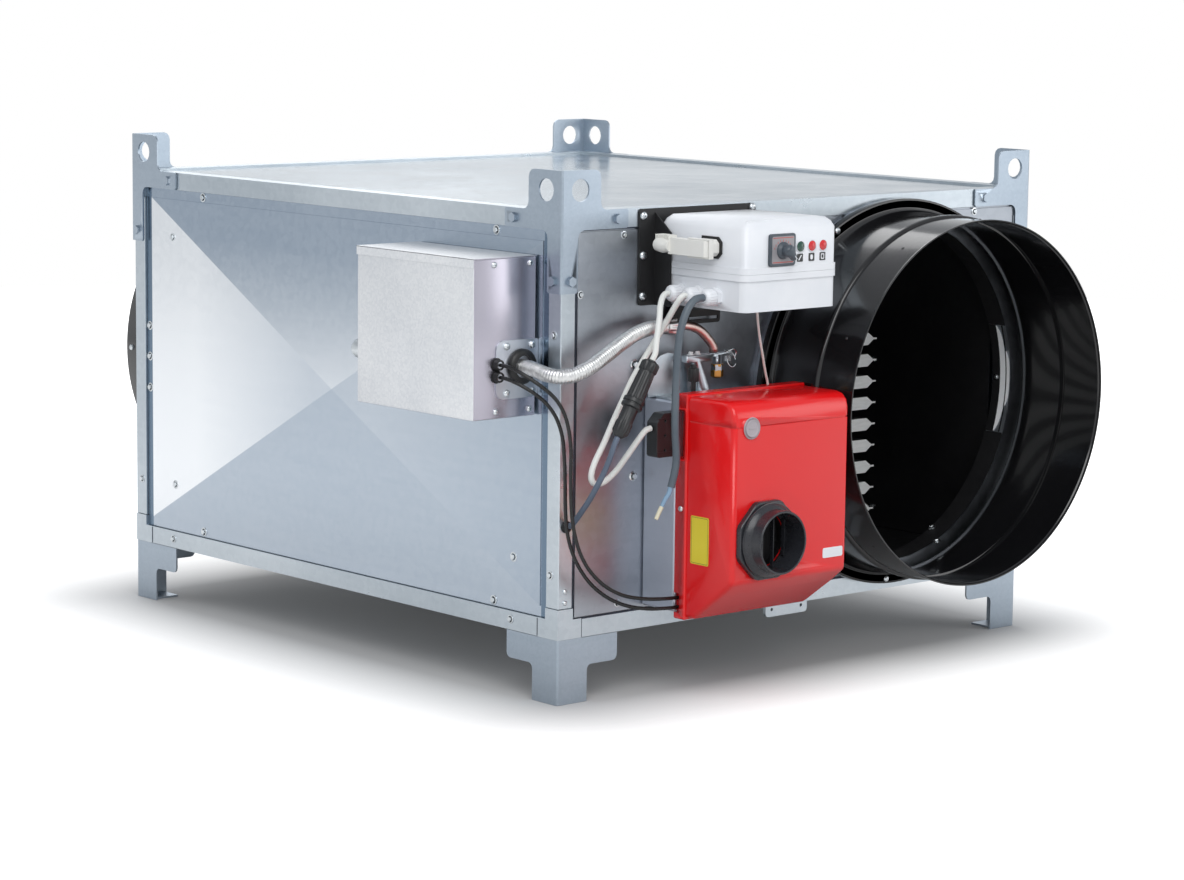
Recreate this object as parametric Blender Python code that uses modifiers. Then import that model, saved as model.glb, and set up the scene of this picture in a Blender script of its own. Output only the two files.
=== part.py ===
"""Suspended indirect-fired air heater, modelled piece by piece in metres, +Z up.

Every size is written in the frame of the casing: x runs along the front from the front left corner,
y runs backwards along the left side, and z runs up from the underside of the frame. One empty carries
all pieces, so that the finished heater has its origin under its middle, level with its feet.
"""
import math

import bmesh
import bpy
from mathutils import Euler, Matrix, Vector

MM = 0.001

# Fits that all pieces share
SEAT_GAP = 0.3 * MM
SLIDE_GAP = 0.5 * MM
OVERRUN = 4 * MM
WELD = 0.01 * MM
CHAMFER_LIMIT = 3.5 * MM

# Facets of round forms
DUCT_STEPS = 36
ROUND_STEPS = 20
SMALL_STEPS = 12
EYE_STEPS = 16
BOLT_STEPS = 6
CORNER_STEPS = 3
THROAT_STEPS = 2
GUARD_STEPS = 18
BEND_STEPS = 3
FLUE_STEPS = 28

# Casing frame
CASING_WIDTH = 1060 * MM
CASING_LENGTH = 1170 * MM
CASING_HEIGHT = 670 * MM
RAIL = 30 * MM
RAIL_EDGE = 1.2 * MM
CORNER_LEG = 48 * MM
CORNER_PROUD = 0.4 * MM

# Support tab under the front rail
TAB_PLATE_LEFT = 446 * MM
TAB_PLATE_WIDTH = 95 * MM
TAB_PLATE_DROP = 16 * MM
TAB_PLATE_LAP = 5 * MM
TAB_PLATE_PROUD = 5 * MM
TAB_PLATE_ROUND = 6 * MM
TAB_PLATE_HOLE_INSET = 14 * MM
TAB_PLATE_HOLE_RADIUS = 3 * MM
TAB_PLATE_HOLE_DROP = 4 * MM

# Panels
PANEL_FIT = 0.8 * MM
GROOVE_WIDTH = 2.5 * MM
GROOVE_DEPTH = 3 * MM
STRIP_WIDTH = 17 * MM
STRIP_DROP = 5 * MM
PANEL_STEP = 1.5 * MM
CROSS_BREAK = 5 * MM
BOSS_RADIUS = 10 * MM
BOSS_INSET = 24 * MM

# Lifting brackets
BRACKET_PLATE = 3 * MM
BEND_RADIUS = 0.3 * MM
BRACKET_RISE = 63 * MM
BRACKET_TOP = CASING_HEIGHT + BRACKET_RISE
EYE_TAB_REACH = 76 * MM
EYE_TAB_ROUND = 13 * MM
EYE_RADIUS = 18 * MM
EYE_REACH = 34 * MM
EYE_RISE = 32 * MM
EYE_HEIGHT = CASING_HEIGHT + EYE_RISE
ARM_REACH = 133 * MM
ARM_END_ROUND = 3 * MM
LEG_DROP = 127 * MM
LEG_BOTTOM = CASING_HEIGHT - LEG_DROP
BRACKET_FILLET = 12 * MM
ARM_BOLT_REACH = 110 * MM
LEG_BOLT_RISE = 19 * MM
LEG_BOLT_HEIGHT = LEG_BOTTOM + LEG_BOLT_RISE
BOLT_RADIUS = 8 * MM
BOLT_HEAD = 6 * MM

# Feet
FOOT_HEIGHT = 104 * MM
FOOT_PLATE = 3 * MM
FOOT_WING_REACH = 124 * MM
FOOT_WING_DEPTH = 45 * MM
FOOT_LEG_WIDTH = 61 * MM
FOOT_ROUND = 9 * MM
FOOT_FLANGE_WIDTH = 30 * MM
SOLE_WIDTH = 52 * MM
SOLE_HOLE_RADIUS = 7 * MM

# Back plate of the control bracket, from which the heights on the front follow
BACKPLATE_LEFT = 157 * MM
BACKPLATE_WIDTH = 247 * MM
BACKPLATE_HEIGHT = 152 * MM
BACKPLATE_DROP = 2 * MM
BACKPLATE_RIGHT = BACKPLATE_LEFT + BACKPLATE_WIDTH
BACKPLATE_TOP = CASING_HEIGHT - BACKPLATE_DROP
BACKPLATE_BOTTOM = BACKPLATE_TOP - BACKPLATE_HEIGHT

# Burner mount housing and blast tube
MOUNT_LEFT = 174 * MM
MOUNT_WIDTH = 226 * MM
MOUNT_BOTTOM = 37 * MM
MOUNT_HEADROOM = 145 * MM
MOUNT_RIGHT = MOUNT_LEFT + MOUNT_WIDTH
MOUNT_TOP = BACKPLATE_BOTTOM - MOUNT_HEADROOM
MOUNT_HEIGHT = MOUNT_TOP - MOUNT_BOTTOM
MOUNT_FORWARD = 77 * MM
MOUNT_EDGE = 3 * MM
BLAST_TUBE_INSET = 132 * MM
BLAST_TUBE_RISE_SHARE = 0.57784431
BLAST_TUBE_X = MOUNT_LEFT + BLAST_TUBE_INSET
BLAST_TUBE_Z = MOUNT_BOTTOM + MOUNT_HEIGHT * BLAST_TUBE_RISE_SHARE
BLAST_TUBE_RADIUS = 55 * MM
BLAST_TUBE_WALL = 3 * MM
BLAST_TUBE_INSIDE = 130 * MM

# Burner cover
COVER_LEFT_LAP = 2 * MM
COVER_WIDTH = 257 * MM
COVER_TOP_LAP = 14 * MM
COVER_BOTTOM_LAP = 9 * MM
COVER_DEPTH = 130 * MM
COVER_LEFT = MOUNT_LEFT - COVER_LEFT_LAP
COVER_RIGHT = COVER_LEFT + COVER_WIDTH
COVER_TOP = MOUNT_TOP + COVER_TOP_LAP
COVER_BOTTOM = MOUNT_BOTTOM - COVER_BOTTOM_LAP
COVER_FORWARD = MOUNT_FORWARD + COVER_DEPTH
COVER_STRIP_DEPTH = 26 * MM
COVER_STRIP_PROUD = 3 * MM
COVER_STRIP_EDGE = 2 * MM
COVER_TOP_ROUND = 24 * MM
COVER_CHIN_RISE = 70 * MM
COVER_SHELF_RISE = 49 * MM
COVER_CHIN_HEIGHT = COVER_BOTTOM + COVER_CHIN_RISE
COVER_CHIN_SHELF = COVER_BOTTOM + COVER_SHELF_RISE
COVER_CHIN_SHELF_BACK = 25 * MM
COVER_CHIN_FOOT_BACK = 89 * MM
COVER_CHIN_ROUND = 12 * MM
COVER_SIDE_ROUND = 10 * MM
SEAM_DROP = 42 * MM
SEAM_HEIGHT = COVER_TOP - SEAM_DROP
SEAM_WIDTH = 2 * MM
SEAM_DEPTH = 1.5 * MM
RECESS_ROOM = 3 * MM
RECESS_DEPTH = 16 * MM
RECESS_LENGTH = 20 * MM
LEAD_NOTCH_RISE = 10 * MM
LEAD_NOTCH_HEIGHT = 31 * MM
LEAD_NOTCH_BOTTOM = COVER_BOTTOM + LEAD_NOTCH_RISE
LEAD_NOTCH_TOP = LEAD_NOTCH_BOTTOM + LEAD_NOTCH_HEIGHT
LEAD_NOTCH_LENGTH = 14 * MM
LEAD_NOTCH_DEPTH = 8 * MM

# Air intake
INTAKE_INSET = 72.6 * MM
INTAKE_RISE_SHARE = 0.3801
INTAKE_X = COVER_LEFT + INTAKE_INSET
INTAKE_Z = COVER_BOTTOM + (COVER_TOP - COVER_BOTTOM) * INTAKE_RISE_SHARE
INTAKE_BASE_RADIUS = 66 * MM
INTAKE_BASE_DEPTH = 10 * MM
INTAKE_STEP_RADIUS = 58 * MM
INTAKE_STEP_DEPTH = 21 * MM
INTAKE_TUBE_RADIUS = 50 * MM
INTAKE_REACH = 42 * MM
INTAKE_WALL = 3.5 * MM
INTAKE_CONE_DEPTH = 6 * MM
INTAKE_POCKET_DEPTH = 25 * MM
INTAKE_SLATS = 4
INTAKE_SLAT_WIDTH = 4 * MM
INTAKE_SLAT_DEPTH = 6 * MM

# Reset button on the burner
BUTTON_INSET = 39 * MM
BUTTON_DROP = 44 * MM
BUTTON_X = COVER_LEFT + BUTTON_INSET
BUTTON_Z = COVER_TOP - BUTTON_DROP
BUTTON_RADIUS = 14.5 * MM
BUTTON_PROUD = 4 * MM
BUTTON_SUNK = 5 * MM
BUTTON_TRAVEL = 3 * MM
BUTTON_EDGE = 1.5 * MM
BEZEL_RADIUS = 17 * MM
BEZEL_PROUD = 1.5 * MM

# Seven-pin plug
PIN_PLUG_REACH = 48 * MM
PIN_PLUG_DROP = 15 * MM
PIN_PLUG_HEIGHT = 69 * MM
PIN_PLUG_BACK = 61 * MM
PIN_PLUG_THICK = 24 * MM
PIN_PLUG_LEFT = MOUNT_LEFT - PIN_PLUG_REACH
PIN_PLUG_TOP = MOUNT_TOP - PIN_PLUG_DROP
PIN_PLUG_BOTTOM = PIN_PLUG_TOP - PIN_PLUG_HEIGHT
PIN_PLUG_FRONT = PIN_PLUG_BACK + PIN_PLUG_THICK
PIN_PLUG_CHAMFER = 14 * MM
PIN_PLUG_ROUND = 5 * MM
PIN_PLUG_SCREWS = 3
PIN_PLUG_SCREW_RADIUS = 2.2 * MM
PIN_PLUG_SCREW_INSET = 31 * MM
PIN_PLUG_SCREW_DEPTH = 3 * MM

# Outlet
DUCT_BURNER_ROOM = 6 * MM
DUCT_RIGHT_ROOM = 29 * MM
DUCT_BOTTOM_ROOM = 40 * MM
DUCT_TOP_ROOM = 34 * MM
DUCT_RADIUS = min(CASING_WIDTH - DUCT_RIGHT_ROOM - COVER_RIGHT - DUCT_BURNER_ROOM,
                  CASING_HEIGHT - DUCT_TOP_ROOM - DUCT_BOTTOM_ROOM) / 2
OUTLET_X = CASING_WIDTH - DUCT_RIGHT_ROOM - DUCT_RADIUS
OUTLET_Z = DUCT_BOTTOM_ROOM + DUCT_RADIUS
DUCT_WALL = 2 * MM
SPACER_DEPTH = 9 * MM
SPACER_PROUD = 0.8 * MM
SPACER_NECK_WALL = 3 * MM
OPENING_STEP = 8 * MM
FLANGE_WIDTH = 25 * MM
OPENING_RADIUS = DUCT_RADIUS - OPENING_STEP
FLANGE_RADIUS = DUCT_RADIUS + FLANGE_WIDTH
FLANGE_RIM_DEPTH = 12.4 * MM
THROAT_FLARE = 8 * MM
FLANGE_BEAD_RADIUS = DUCT_RADIUS + THROAT_FLARE
FLANGE_BEAD_RISE = 2 * MM
THROAT_LENGTH = 36 * MM
SEAM_FORWARD = 120 * MM
SEAM_LIP = 4 * MM
SEAM_HALF_WIDTH = 4 * MM
COLLAR_FORWARD = 205 * MM
COLLAR_RIM_LIP = 2 * MM
COLLAR_RIM_WIDTH = 3 * MM

# Control bracket
BRACKET_SHEET = 2.5 * MM
CHEEK_REACH = 40 * MM
CHEEK_DROP = 5 * MM
CHEEK_SLOPE = 31 * MM
CHEEK_TOP = BACKPLATE_TOP - CHEEK_DROP
CHEEK_SHOULDER = CHEEK_TOP - CHEEK_SLOPE
SHELF_REACH = 110 * MM
LIP_INSET = 62 * MM
LIP_WIDTH = 103 * MM
LIP_DROP = 34 * MM
LIP_FORWARD = 15 * MM
LIP_SLOT_LENGTH = 62 * MM
LIP_SLOT_HEIGHT = 5 * MM
LIP_SLOT_RISE = 6 * MM
LIP_ROUND = 5 * MM
LIP_LEFT = BACKPLATE_LEFT + LIP_INSET
LIP_RIGHT = LIP_LEFT + LIP_WIDTH
LIP_BOTTOM = BACKPLATE_BOTTOM - LIP_DROP
LIP_SLOT_LOW = LIP_BOTTOM + LIP_SLOT_RISE

# Control box
BOX_INSET = 38 * MM
BOX_WIDTH = 199 * MM
BOX_BACK = 8 * MM
BOX_DEPTH = 196 * MM
BOX_RISE = 3.5 * MM
BOX_BASE_HEIGHT = 58 * MM
BOX_LID_HEIGHT = 82.5 * MM
BOX_LEFT = BACKPLATE_LEFT + BOX_INSET
BOX_RIGHT = BOX_LEFT + BOX_WIDTH
BOX_FRONT = BOX_BACK + BOX_DEPTH
BOX_BOTTOM = BACKPLATE_BOTTOM + BOX_RISE
BOX_SPLIT = BOX_BOTTOM + BOX_BASE_HEIGHT
BOX_TOP = BOX_SPLIT + BOX_LID_HEIGHT
BOX_RIB_HEIGHT = 10 * MM
BOX_RIB_PROUD = 2.5 * MM
BOX_CORNER = 13 * MM
LID_CHAMFER = 15 * MM
LID_BULGE_SHARE = 0.35

# Cable glands on the control box
GLAND_BACKS = (62 * MM, 101 * MM, 141.5 * MM)
GLAND_RISE = 20.5 * MM
GLAND_HEIGHT = BOX_BOTTOM + GLAND_RISE
GLAND_HEX_RADIUS = 14.5 * MM
GLAND_HEX_LENGTH = 9 * MM
GLAND_BODY_RADIUS = 12.5 * MM
GLAND_BODY_LENGTH = 24 * MM
GLAND_LENGTH = 28 * MM
GLAND_MOUTH_RADIUS = 8 * MM

# Switch plate, selector knob and lamps
SWITCH_INSET = 47 * MM
SWITCH_WIDTH = 55 * MM
SWITCH_RISE = 11.5 * MM
SWITCH_HEIGHT = 50 * MM
SWITCH_LEFT = BOX_LEFT + SWITCH_INSET
SWITCH_RIGHT = SWITCH_LEFT + SWITCH_WIDTH
SWITCH_BOTTOM = BOX_SPLIT + SWITCH_RISE
SWITCH_THICK = 5 * MM
SWITCH_ROUND = 4 * MM
KNOB_RISE = 24 * MM
KNOB_X = SWITCH_LEFT + SWITCH_WIDTH / 2
KNOB_Z = SWITCH_BOTTOM + KNOB_RISE
KNOB_HUB_RADIUS = 15 * MM
KNOB_DISC_RADIUS = 18 * MM
KNOB_DISC_THICK = 5 * MM
KNOB_REACH = 33 * MM
KNOB_WING_LENGTH = 29 * MM
KNOB_WING_TIP_RADIUS = 5 * MM
KNOB_WING_INSET = 9 * MM
KNOB_EDGE = 2 * MM
KNOB_REST_ANGLE = math.radians(-48)
LAMP_SPACES = (("green", 14 * MM), ("red_left", 39 * MM), ("red_right", 63 * MM))
LAMP_DROP = 43 * MM
LAMP_HEIGHT = BOX_TOP - LAMP_DROP
LAMP_RADIUS = 8 * MM
LAMP_PROUD = 5 * MM
LAMP_RIM = 2 * MM

# Room thermostat socket, plug and clip
SOCKET_FRONT = 153 * MM
SOCKET_BACK = 108 * MM
SOCKET_RISE = 21.5 * MM
SOCKET_HEIGHT = 34 * MM
SOCKET_BOTTOM = BOX_SPLIT + SOCKET_RISE
SOCKET_TOP = SOCKET_BOTTOM + SOCKET_HEIGHT
SOCKET_GASKET = 3 * MM
SOCKET_REACH = 16 * MM
SOCKET_SHOULDER = 4 * MM
SOCKET_CHAMFER = 8 * MM
JACK_FRONT = 149 * MM
JACK_BACK = 62 * MM
JACK_RISE = 3 * MM
JACK_HEIGHT = 26 * MM
JACK_BOTTOM = SOCKET_BOTTOM + JACK_RISE
JACK_TOP = JACK_BOTTOM + JACK_HEIGHT
JACK_THICK = 15 * MM
JACK_CHAMFER = 5 * MM
JACK_NUT_RADIUS = 12.5 * MM
JACK_NUT_LENGTH = 27 * MM
JACK_NUT_WAIST = 10 * MM
CLIP_PIVOT_BACK = 106 * MM
CLIP_WIDTH = 9 * MM
CLIP_SHEET = 2 * MM
CLIP_REACH = 45.5 * MM
CLIP_ROUND_SHARE = 0.9

# Thermostat box on the left side
SIDE_BOX_REACH = 125 * MM
SIDE_BOX_FRONT = 60 * MM
SIDE_BOX_LENGTH = 292 * MM
SIDE_BOX_DROP = 72 * MM
SIDE_BOX_HEIGHT = 249 * MM
SIDE_BOX_EDGE = 2 * MM
SIDE_BOX_REAR = SIDE_BOX_FRONT + SIDE_BOX_LENGTH
SIDE_BOX_TOP = CASING_HEIGHT - SIDE_BOX_DROP
SIDE_BOX_BOTTOM = SIDE_BOX_TOP - SIDE_BOX_HEIGHT
RESET_CAP_REACH = 62 * MM
RESET_CAP_RISE = 71 * MM
RESET_CAP_HEIGHT = SIDE_BOX_BOTTOM + RESET_CAP_RISE
RESET_CAP_RADIUS = 17 * MM
RESET_CAP_PROUD = 14 * MM
DOME_SHARES = (0.55, 0.9)
GLAND_PLATE_REACH = 81 * MM
GLAND_PLATE_RISE = 30 * MM
GLAND_PLATE_HEIGHT = 91 * MM
GLAND_PLATE_BOTTOM = SIDE_BOX_BOTTOM + GLAND_PLATE_RISE
GLAND_PLATE_TOP = GLAND_PLATE_BOTTOM + GLAND_PLATE_HEIGHT
GLAND_PLATE_THICK = 2 * MM
GLAND_PLATE_ROUND = 14 * MM
SMALL_GLAND_REACH = 80 * MM
SMALL_GLAND_RISES = (55 * MM, 36 * MM)
SMALL_GLAND_RADIUS = 8.5 * MM
SMALL_GLAND_LENGTH = 8 * MM
SMALL_GLAND_TIP_SHARE = 0.7
GROMMET_REACH = 31 * MM
GROMMET_RISE = 49 * MM
GROMMET_HEIGHT = GLAND_PLATE_BOTTOM + GROMMET_RISE
GROMMET_RADIUS = 28 * MM
GROMMET_THICK = 9 * MM
GROMMET_HOLE_RADIUS = 18 * MM

# Combustion chamber, heat exchanger and flue
CHAMBER_FLOOR_ROOM = 35 * MM
CHAMBER_RADIUS = BLAST_TUBE_Z - RAIL - CHAMBER_FLOOR_ROOM
CHAMBER_END = 900 * MM
CHAMBER_EDGE = 8 * MM
HEADER_ROOM = 29 * MM
HEADER_WIDTH = 50 * MM
HEADER_FRONT = 190 * MM
HEADER_LEFT = BLAST_TUBE_X + CHAMBER_RADIUS + HEADER_ROOM
NECK_FRONT = 400 * MM
NECK_LENGTH = 160 * MM
NECK_HALF_HEIGHT = 70 * MM
NECK_SINK = 11 * MM
POCKET_COUNT = 9
POCKET_THICK_SHARE = 0.5764
POCKET_FRONT = 150 * MM
POCKET_ROOM = 207 * MM
POCKET_TIP = CASING_WIDTH - POCKET_ROOM
POCKET_TOP_DROP = 265 * MM
POCKET_BOTTOM_RISE = 106.6 * MM
POCKET_TOP = CASING_HEIGHT - POCKET_TOP_DROP
POCKET_PITCH = (POCKET_TOP - POCKET_BOTTOM_RISE) / (POCKET_COUNT - 1)
POCKET_THICK = POCKET_PITCH * POCKET_THICK_SHARE
HEADER_MARGIN = 25 * MM
HEADER_BOTTOM_MARGIN = 28.6 * MM
HEADER_TOP = POCKET_TOP + HEADER_MARGIN
HEADER_BOTTOM = POCKET_BOTTOM_RISE - HEADER_BOTTOM_MARGIN
POCKET_TAPER = 13 * MM
POCKET_LIP = 8 * MM
POCKET_LIP_THICK = 3 * MM
SMOKE_BOX_FRONT = 760 * MM
SMOKE_BOX_DEPTH = 70 * MM
SMOKE_BOX_ROOM = 120 * MM
SMOKE_BOX_DROP = 80 * MM
SMOKE_BOX_BACK = SMOKE_BOX_FRONT + SMOKE_BOX_DEPTH
SMOKE_BOX_RIGHT = CASING_WIDTH - SMOKE_BOX_ROOM
SMOKE_BOX_TOP = CASING_HEIGHT - SMOKE_BOX_DROP
SMOKE_LEG_WIDTH = 30 * MM
SMOKE_LEG_INSET = 20 * MM
SMOKE_LEG_LEFT = (HEADER_LEFT + SMOKE_BOX_RIGHT) / 2 - SMOKE_LEG_WIDTH
FLUE_INSET = 110 * MM
FLUE_DROP = 110 * MM
FLUE_X = SMOKE_BOX_RIGHT - FLUE_INSET
FLUE_Z = SMOKE_BOX_TOP - FLUE_DROP
FLUE_RADIUS = 100 * MM
FLUE_WALL = 2 * MM
FLUE_STUB = 80 * MM
FLUE_BEAD_INSET = 20 * MM
FLUE_BEAD_PROUD = 3 * MM
FLUE_BEAD_HALF_WIDTH = 4 * MM

# Inlet fan
FAN_INSET = 30 * MM
FAN_FLANGE_WIDTH = 20 * MM
FAN_LEFT_ROOM = 42 * MM
FAN_FLUE_ROOM = 32 * MM
FAN_EDGE_ROOM = 7 * MM
FAN_FLANGE_RADIUS = min(FLUE_X - FLUE_RADIUS - FAN_FLUE_ROOM - FAN_LEFT_ROOM, CASING_HEIGHT - 2 * FAN_EDGE_ROOM) / 2
FAN_RING_RADIUS = FAN_FLANGE_RADIUS - FAN_FLANGE_WIDTH
FAN_X = FAN_LEFT_ROOM + FAN_FLANGE_RADIUS
FAN_Z = CASING_HEIGHT / 2
FAN_RING_WALL = 2 * MM
FAN_RING_DEPTH = 125 * MM
FAN_RING_ROLL = 7 * MM
FAN_TIP_ROOM = 24 * MM
FAN_TIP_RADIUS = FAN_RING_RADIUS - FAN_TIP_ROOM
BLADE_COUNT = 6
BLADE_ROOT_RADIUS = 48 * MM
BLADE_ROOT_CHORD = 66 * MM
BLADE_TIP_CHORD = 128 * MM
BLADE_ROOT_PITCH = math.radians(42)
BLADE_TIP_PITCH = math.radians(22)
BLADE_SWEEP = math.radians(14)
BLADE_CAMBER_SHARE = 0.08
BLADE_THICK = 3 * MM
BLADE_SPANS = 4
BLADE_CHORDS = 3
HUB_RADIUS = 56 * MM
HUB_INSIDE = 26 * MM
HUB_OUTSIDE = 25 * MM
HUB_EDGE = 6 * MM
SHAFT_RADIUS = 10 * MM
MOTOR_FRONT = 27 * MM
MOTOR_RADIUS = 68 * MM
MOTOR_EDGE = 7 * MM
TERMINAL_BOX_WIDTH = 60 * MM
TERMINAL_BOX_RISE = 26 * MM
TERMINAL_BOX_LENGTH = 50 * MM
TERMINAL_BOX_INSET = 14 * MM
GUARD_DEPTH = 110 * MM
GUARD_WIRE = 2.5 * MM
GUARD_PLATE_RADIUS = 62 * MM
GUARD_PLATE_THICK = 3 * MM
GUARD_ARMS = 6
GUARD_ARM_WIDTH = 6 * MM
GUARD_RINGS = 3
GUARD_OUTER_INSET = 12 * MM

# Foil hose, arched pipe and the bracket that holds them
HOSE_RADIUS = 11.5 * MM
HOSE_RIB = 0.9 * MM
HOSE_PITCH = 4.3 * MM
HOSE_BORE_RADIUS = 8.4 * MM
HOSE_BORE_SPACING = 16 * MM
HOSE_SETBACK = 2.8 * MM
HOSE_END_INSET = 20 * MM
HOSE_END_RISE = 115 * MM
PIPE_RADIUS = 7.5 * MM
PIPE_FOOT_INSET = 10 * MM
PIPE_FOOT_GAP = 1 * MM
STAND_BACK = 18 * MM
STAND_FRONT = 66 * MM
STAND_INSET = 4 * MM
STAND_WIDTH = 126 * MM
STAND_THICK = 4 * MM
STAND_ROUND = 10 * MM
STAND_LEFT = MOUNT_LEFT + STAND_INSET
STAND_RIGHT = STAND_LEFT + STAND_WIDTH
STAND_TUBE_FOOT_INSET = 84 * MM
STAND_TUBE_HEAD_INSET = 68 * MM
STAND_TUBE_RADIUS = 15 * MM
PIPE_BACK = 40 * MM
CLAMP_INSET = 44 * MM
CLAMP_WIDTH = 54 * MM
CLAMP_RISE = 54 * MM
CLAMP_HEIGHT = 12 * MM
CLAMP_HALF_DEPTH = 7 * MM
CLAMP_LEFT = STAND_LEFT + CLAMP_INSET
CLAMP_RIGHT = CLAMP_LEFT + CLAMP_WIDTH
CLAMP_BOTTOM = MOUNT_TOP + CLAMP_RISE
LUG_LENGTH = 46 * MM
LUG_THICK = 6 * MM
LUG_RIGHT = CLAMP_RIGHT + LUG_LENGTH
FITTING_INSET = 18 * MM
FITTING_LENGTH = 32 * MM
FITTING_RADIUS = 7.5 * MM
FITTING_HEX_RADIUS = 10 * MM
FITTING_HEX_LENGTH = 10 * MM
ARCH_PLATE_INSET = 26 * MM
ARCH_PLATE_RADIUS = 42 * MM
ARCH_PLATE_RISE = 70 * MM
ARCH_PLATE_CENTRE = STAND_LEFT + ARCH_PLATE_INSET
ARCH_PLATE_TOP = MOUNT_TOP + ARCH_PLATE_RISE
ARCH_PLATE_THICK = 3 * MM

# Leads
PALE_LEAD_RADIUS = 4.8 * MM
GREY_LEAD_RADIUS = 4.6 * MM
MAINS_LEAD_RADIUS = 6 * MM
BLACK_LEAD_RADIUS = 3 * MM
THIN_LEAD_RADIUS = 2 * MM
LEAD_SEAT = 0.4 * MM
PLUG_LEAD_SEAT = 3 * MM
PLUG_LEAD_RISE = 46 * MM
LIMIT_LEAD_SETBACK = 11.3 * MM
LIMIT_LEAD_DEPTH = 7 * MM
UPPER_LEAD_RISE = 23 * MM
LOWER_LEAD_RISE = 8 * MM
EARTH_LEAD_INSET = 106 * MM
EARTH_LEAD_TOP_BACK = 121 * MM
EARTH_LEAD_TOP_SEAT = 0.7 * MM
EARTH_LEAD_FOOT_INSET = 185 * MM
EARTH_LEAD_FOOT_BACK = 91 * MM
EARTH_LEAD_FOOT_SEAT = 1.2 * MM
LEAD_SPACING = 18 * MM
LEAD_SPACING_DIAMETERS = 2.6
CONNECTOR_NUT_RADIUS = 15 * MM
CONNECTOR_BODY_RADIUS = 13 * MM
CONNECTOR_RING_RADIUS = 17 * MM
CONNECTOR_NUT_LENGTH = 20 * MM
CONNECTOR_RING_LENGTH = 14 * MM
CONNECTOR_TOP_REACH = 86.5 * MM
CONNECTOR_TOP_BACK = 90 * MM
CONNECTOR_TOP_DROP = 98.5 * MM
CONNECTOR_FOOT_REACH = 152.9 * MM
CONNECTOR_FOOT_BACK = 88 * MM
CONNECTOR_FOOT_DROP = 211.9 * MM
CONNECTOR_LEAD_GAP = 0.5 * MM
CONNECTOR_LEAD_GAP_SHARE = 0.003
NECK_END_SHARE = 0.8

# Routes of the free leads and the hose, in millimetres of the casing frame
PALE_LEAD_ROUTE = (
    (166.6, -62, 540), (160, -62, 540), (152.3, -64, 534.5), (141.5, -71, 522), (133.8, -78, 505.2),
    (125.6, -84, 487.6), (118.5, -88, 466), (114.6, -90.2, 451.9), (108.7, -90, 442),
)
GREY_LEAD_ROUTE = (
    (41.8, -88, 327.6), (36, -87.8, 317.7), (30, -84.5, 297), (25, -78, 276), (21, -70, 258), (19, -60, 241),
    (18, -47, 223), (17, -33, 206), (16, -22, 193), (15.3, -12, 183), (15, -2.3, 179.8),
)
BURNER_LEAD_ROUTE = (
    (166.6, -101, 540), (161, -101, 540), (157, -97, 533), (155.5, -86, 518), (154, -73, 499), (148, -63, 479),
    (136, -57, 457), (118, -55, 433), (100.8, -53, 408.4), (83.3, -50, 375.4), (67, -48, 345), (50.7, -46, 313),
    (33, -45, 284), (26, -45, 264), (31, -45, 252), (48.2, -46, 251), (70.3, -50, 266), (88.5, -58, 291.5),
    (102, -67, 315), (113, -72, 330), (123, -73, 333),
)
MAINS_LEAD_ROUTE = (
    (166.5, -141.5, 540), (156, -141.5, 540), (145, -142, 536), (134, -142, 525), (125, -142, 508),
    (118, -142, 485), (114, -142, 455), (113, -141, 420), (113, -140, 385), (114, -139, 354),
    (116, -138, 328), (119, -137, 305), (120, -136, 286), (117, -135, 268), (112, -134, 249),
)
UPPER_LEAD_ROUTE = (
    (-80, 48.7, 434), (-79, 40, 434), (-77, 28, 432), (-71, 10, 425), (-60, -6, 414), (-46, -18, 401),
    (-30, -26, 384), (-17, -29, 363), (-8, -30, 337), (-3, -30, 305), (-2, -29, 268), (-1, -29, 232),
    (1, -30, 198), (6, -33, 166), (14, -38, 138), (28, -45, 112), (50, -54, 89), (78, -64, 73),
    (112, -73, 65), (145, -80, 62), (179, -84.5, 61),
)
LOWER_LEAD_ROUTE = (
    (-80, 48.7, 415), (-79, 40, 414.5), (-76, 27, 412), (-68, 11, 405), (-54, -3, 393), (-37, -11, 377),
    (-21, -15, 355), (-9, -16, 325), (-4, -16, 288), (-2, -16, 250), (-1, -16, 212), (1, -18, 178),
    (7, -22, 147), (17, -29, 119), (34, -38, 92), (58, -49, 70), (88, -60, 55), (120, -71, 48),
    (150, -79, 46), (179, -84, 46),
)
THIN_LEAD_ROUTE = (
    (301, -121, 518.8), (302, -121, 508), (309, -116, 490), (317, -111, 471), (325, -107, 453),
    (333, -103, 436), (341, -99, 418), (349, -95, 402), (354.5, -92.5, 393), (357, -91, 386.2),
)
HOSE_ROUTE = (
    (-31, 57.2, 428), (-31, 46, 428), (-32, 30, 427), (-33, 10, 424), (-32, -12, 421), (-22, -31, 420),
    (-3, -42, 424), (20, -46, 433), (45, -46, 445), (72, -44, 458), (98, -42, 470), (124, -41, 480),
    (150, -40, 485), (176, -40, 486), (198, -40, 486),
)
ARCH_PIPE_ROUTE = (
    (198.3, -40, 486), (212, -40, 486), (228, -40, 484), (244, -40, 480), (258, -40, 473), (270, -40, 463),
    (279, -40, 454), (285.2, -40, 446), (286, -40, 438),
)

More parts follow.
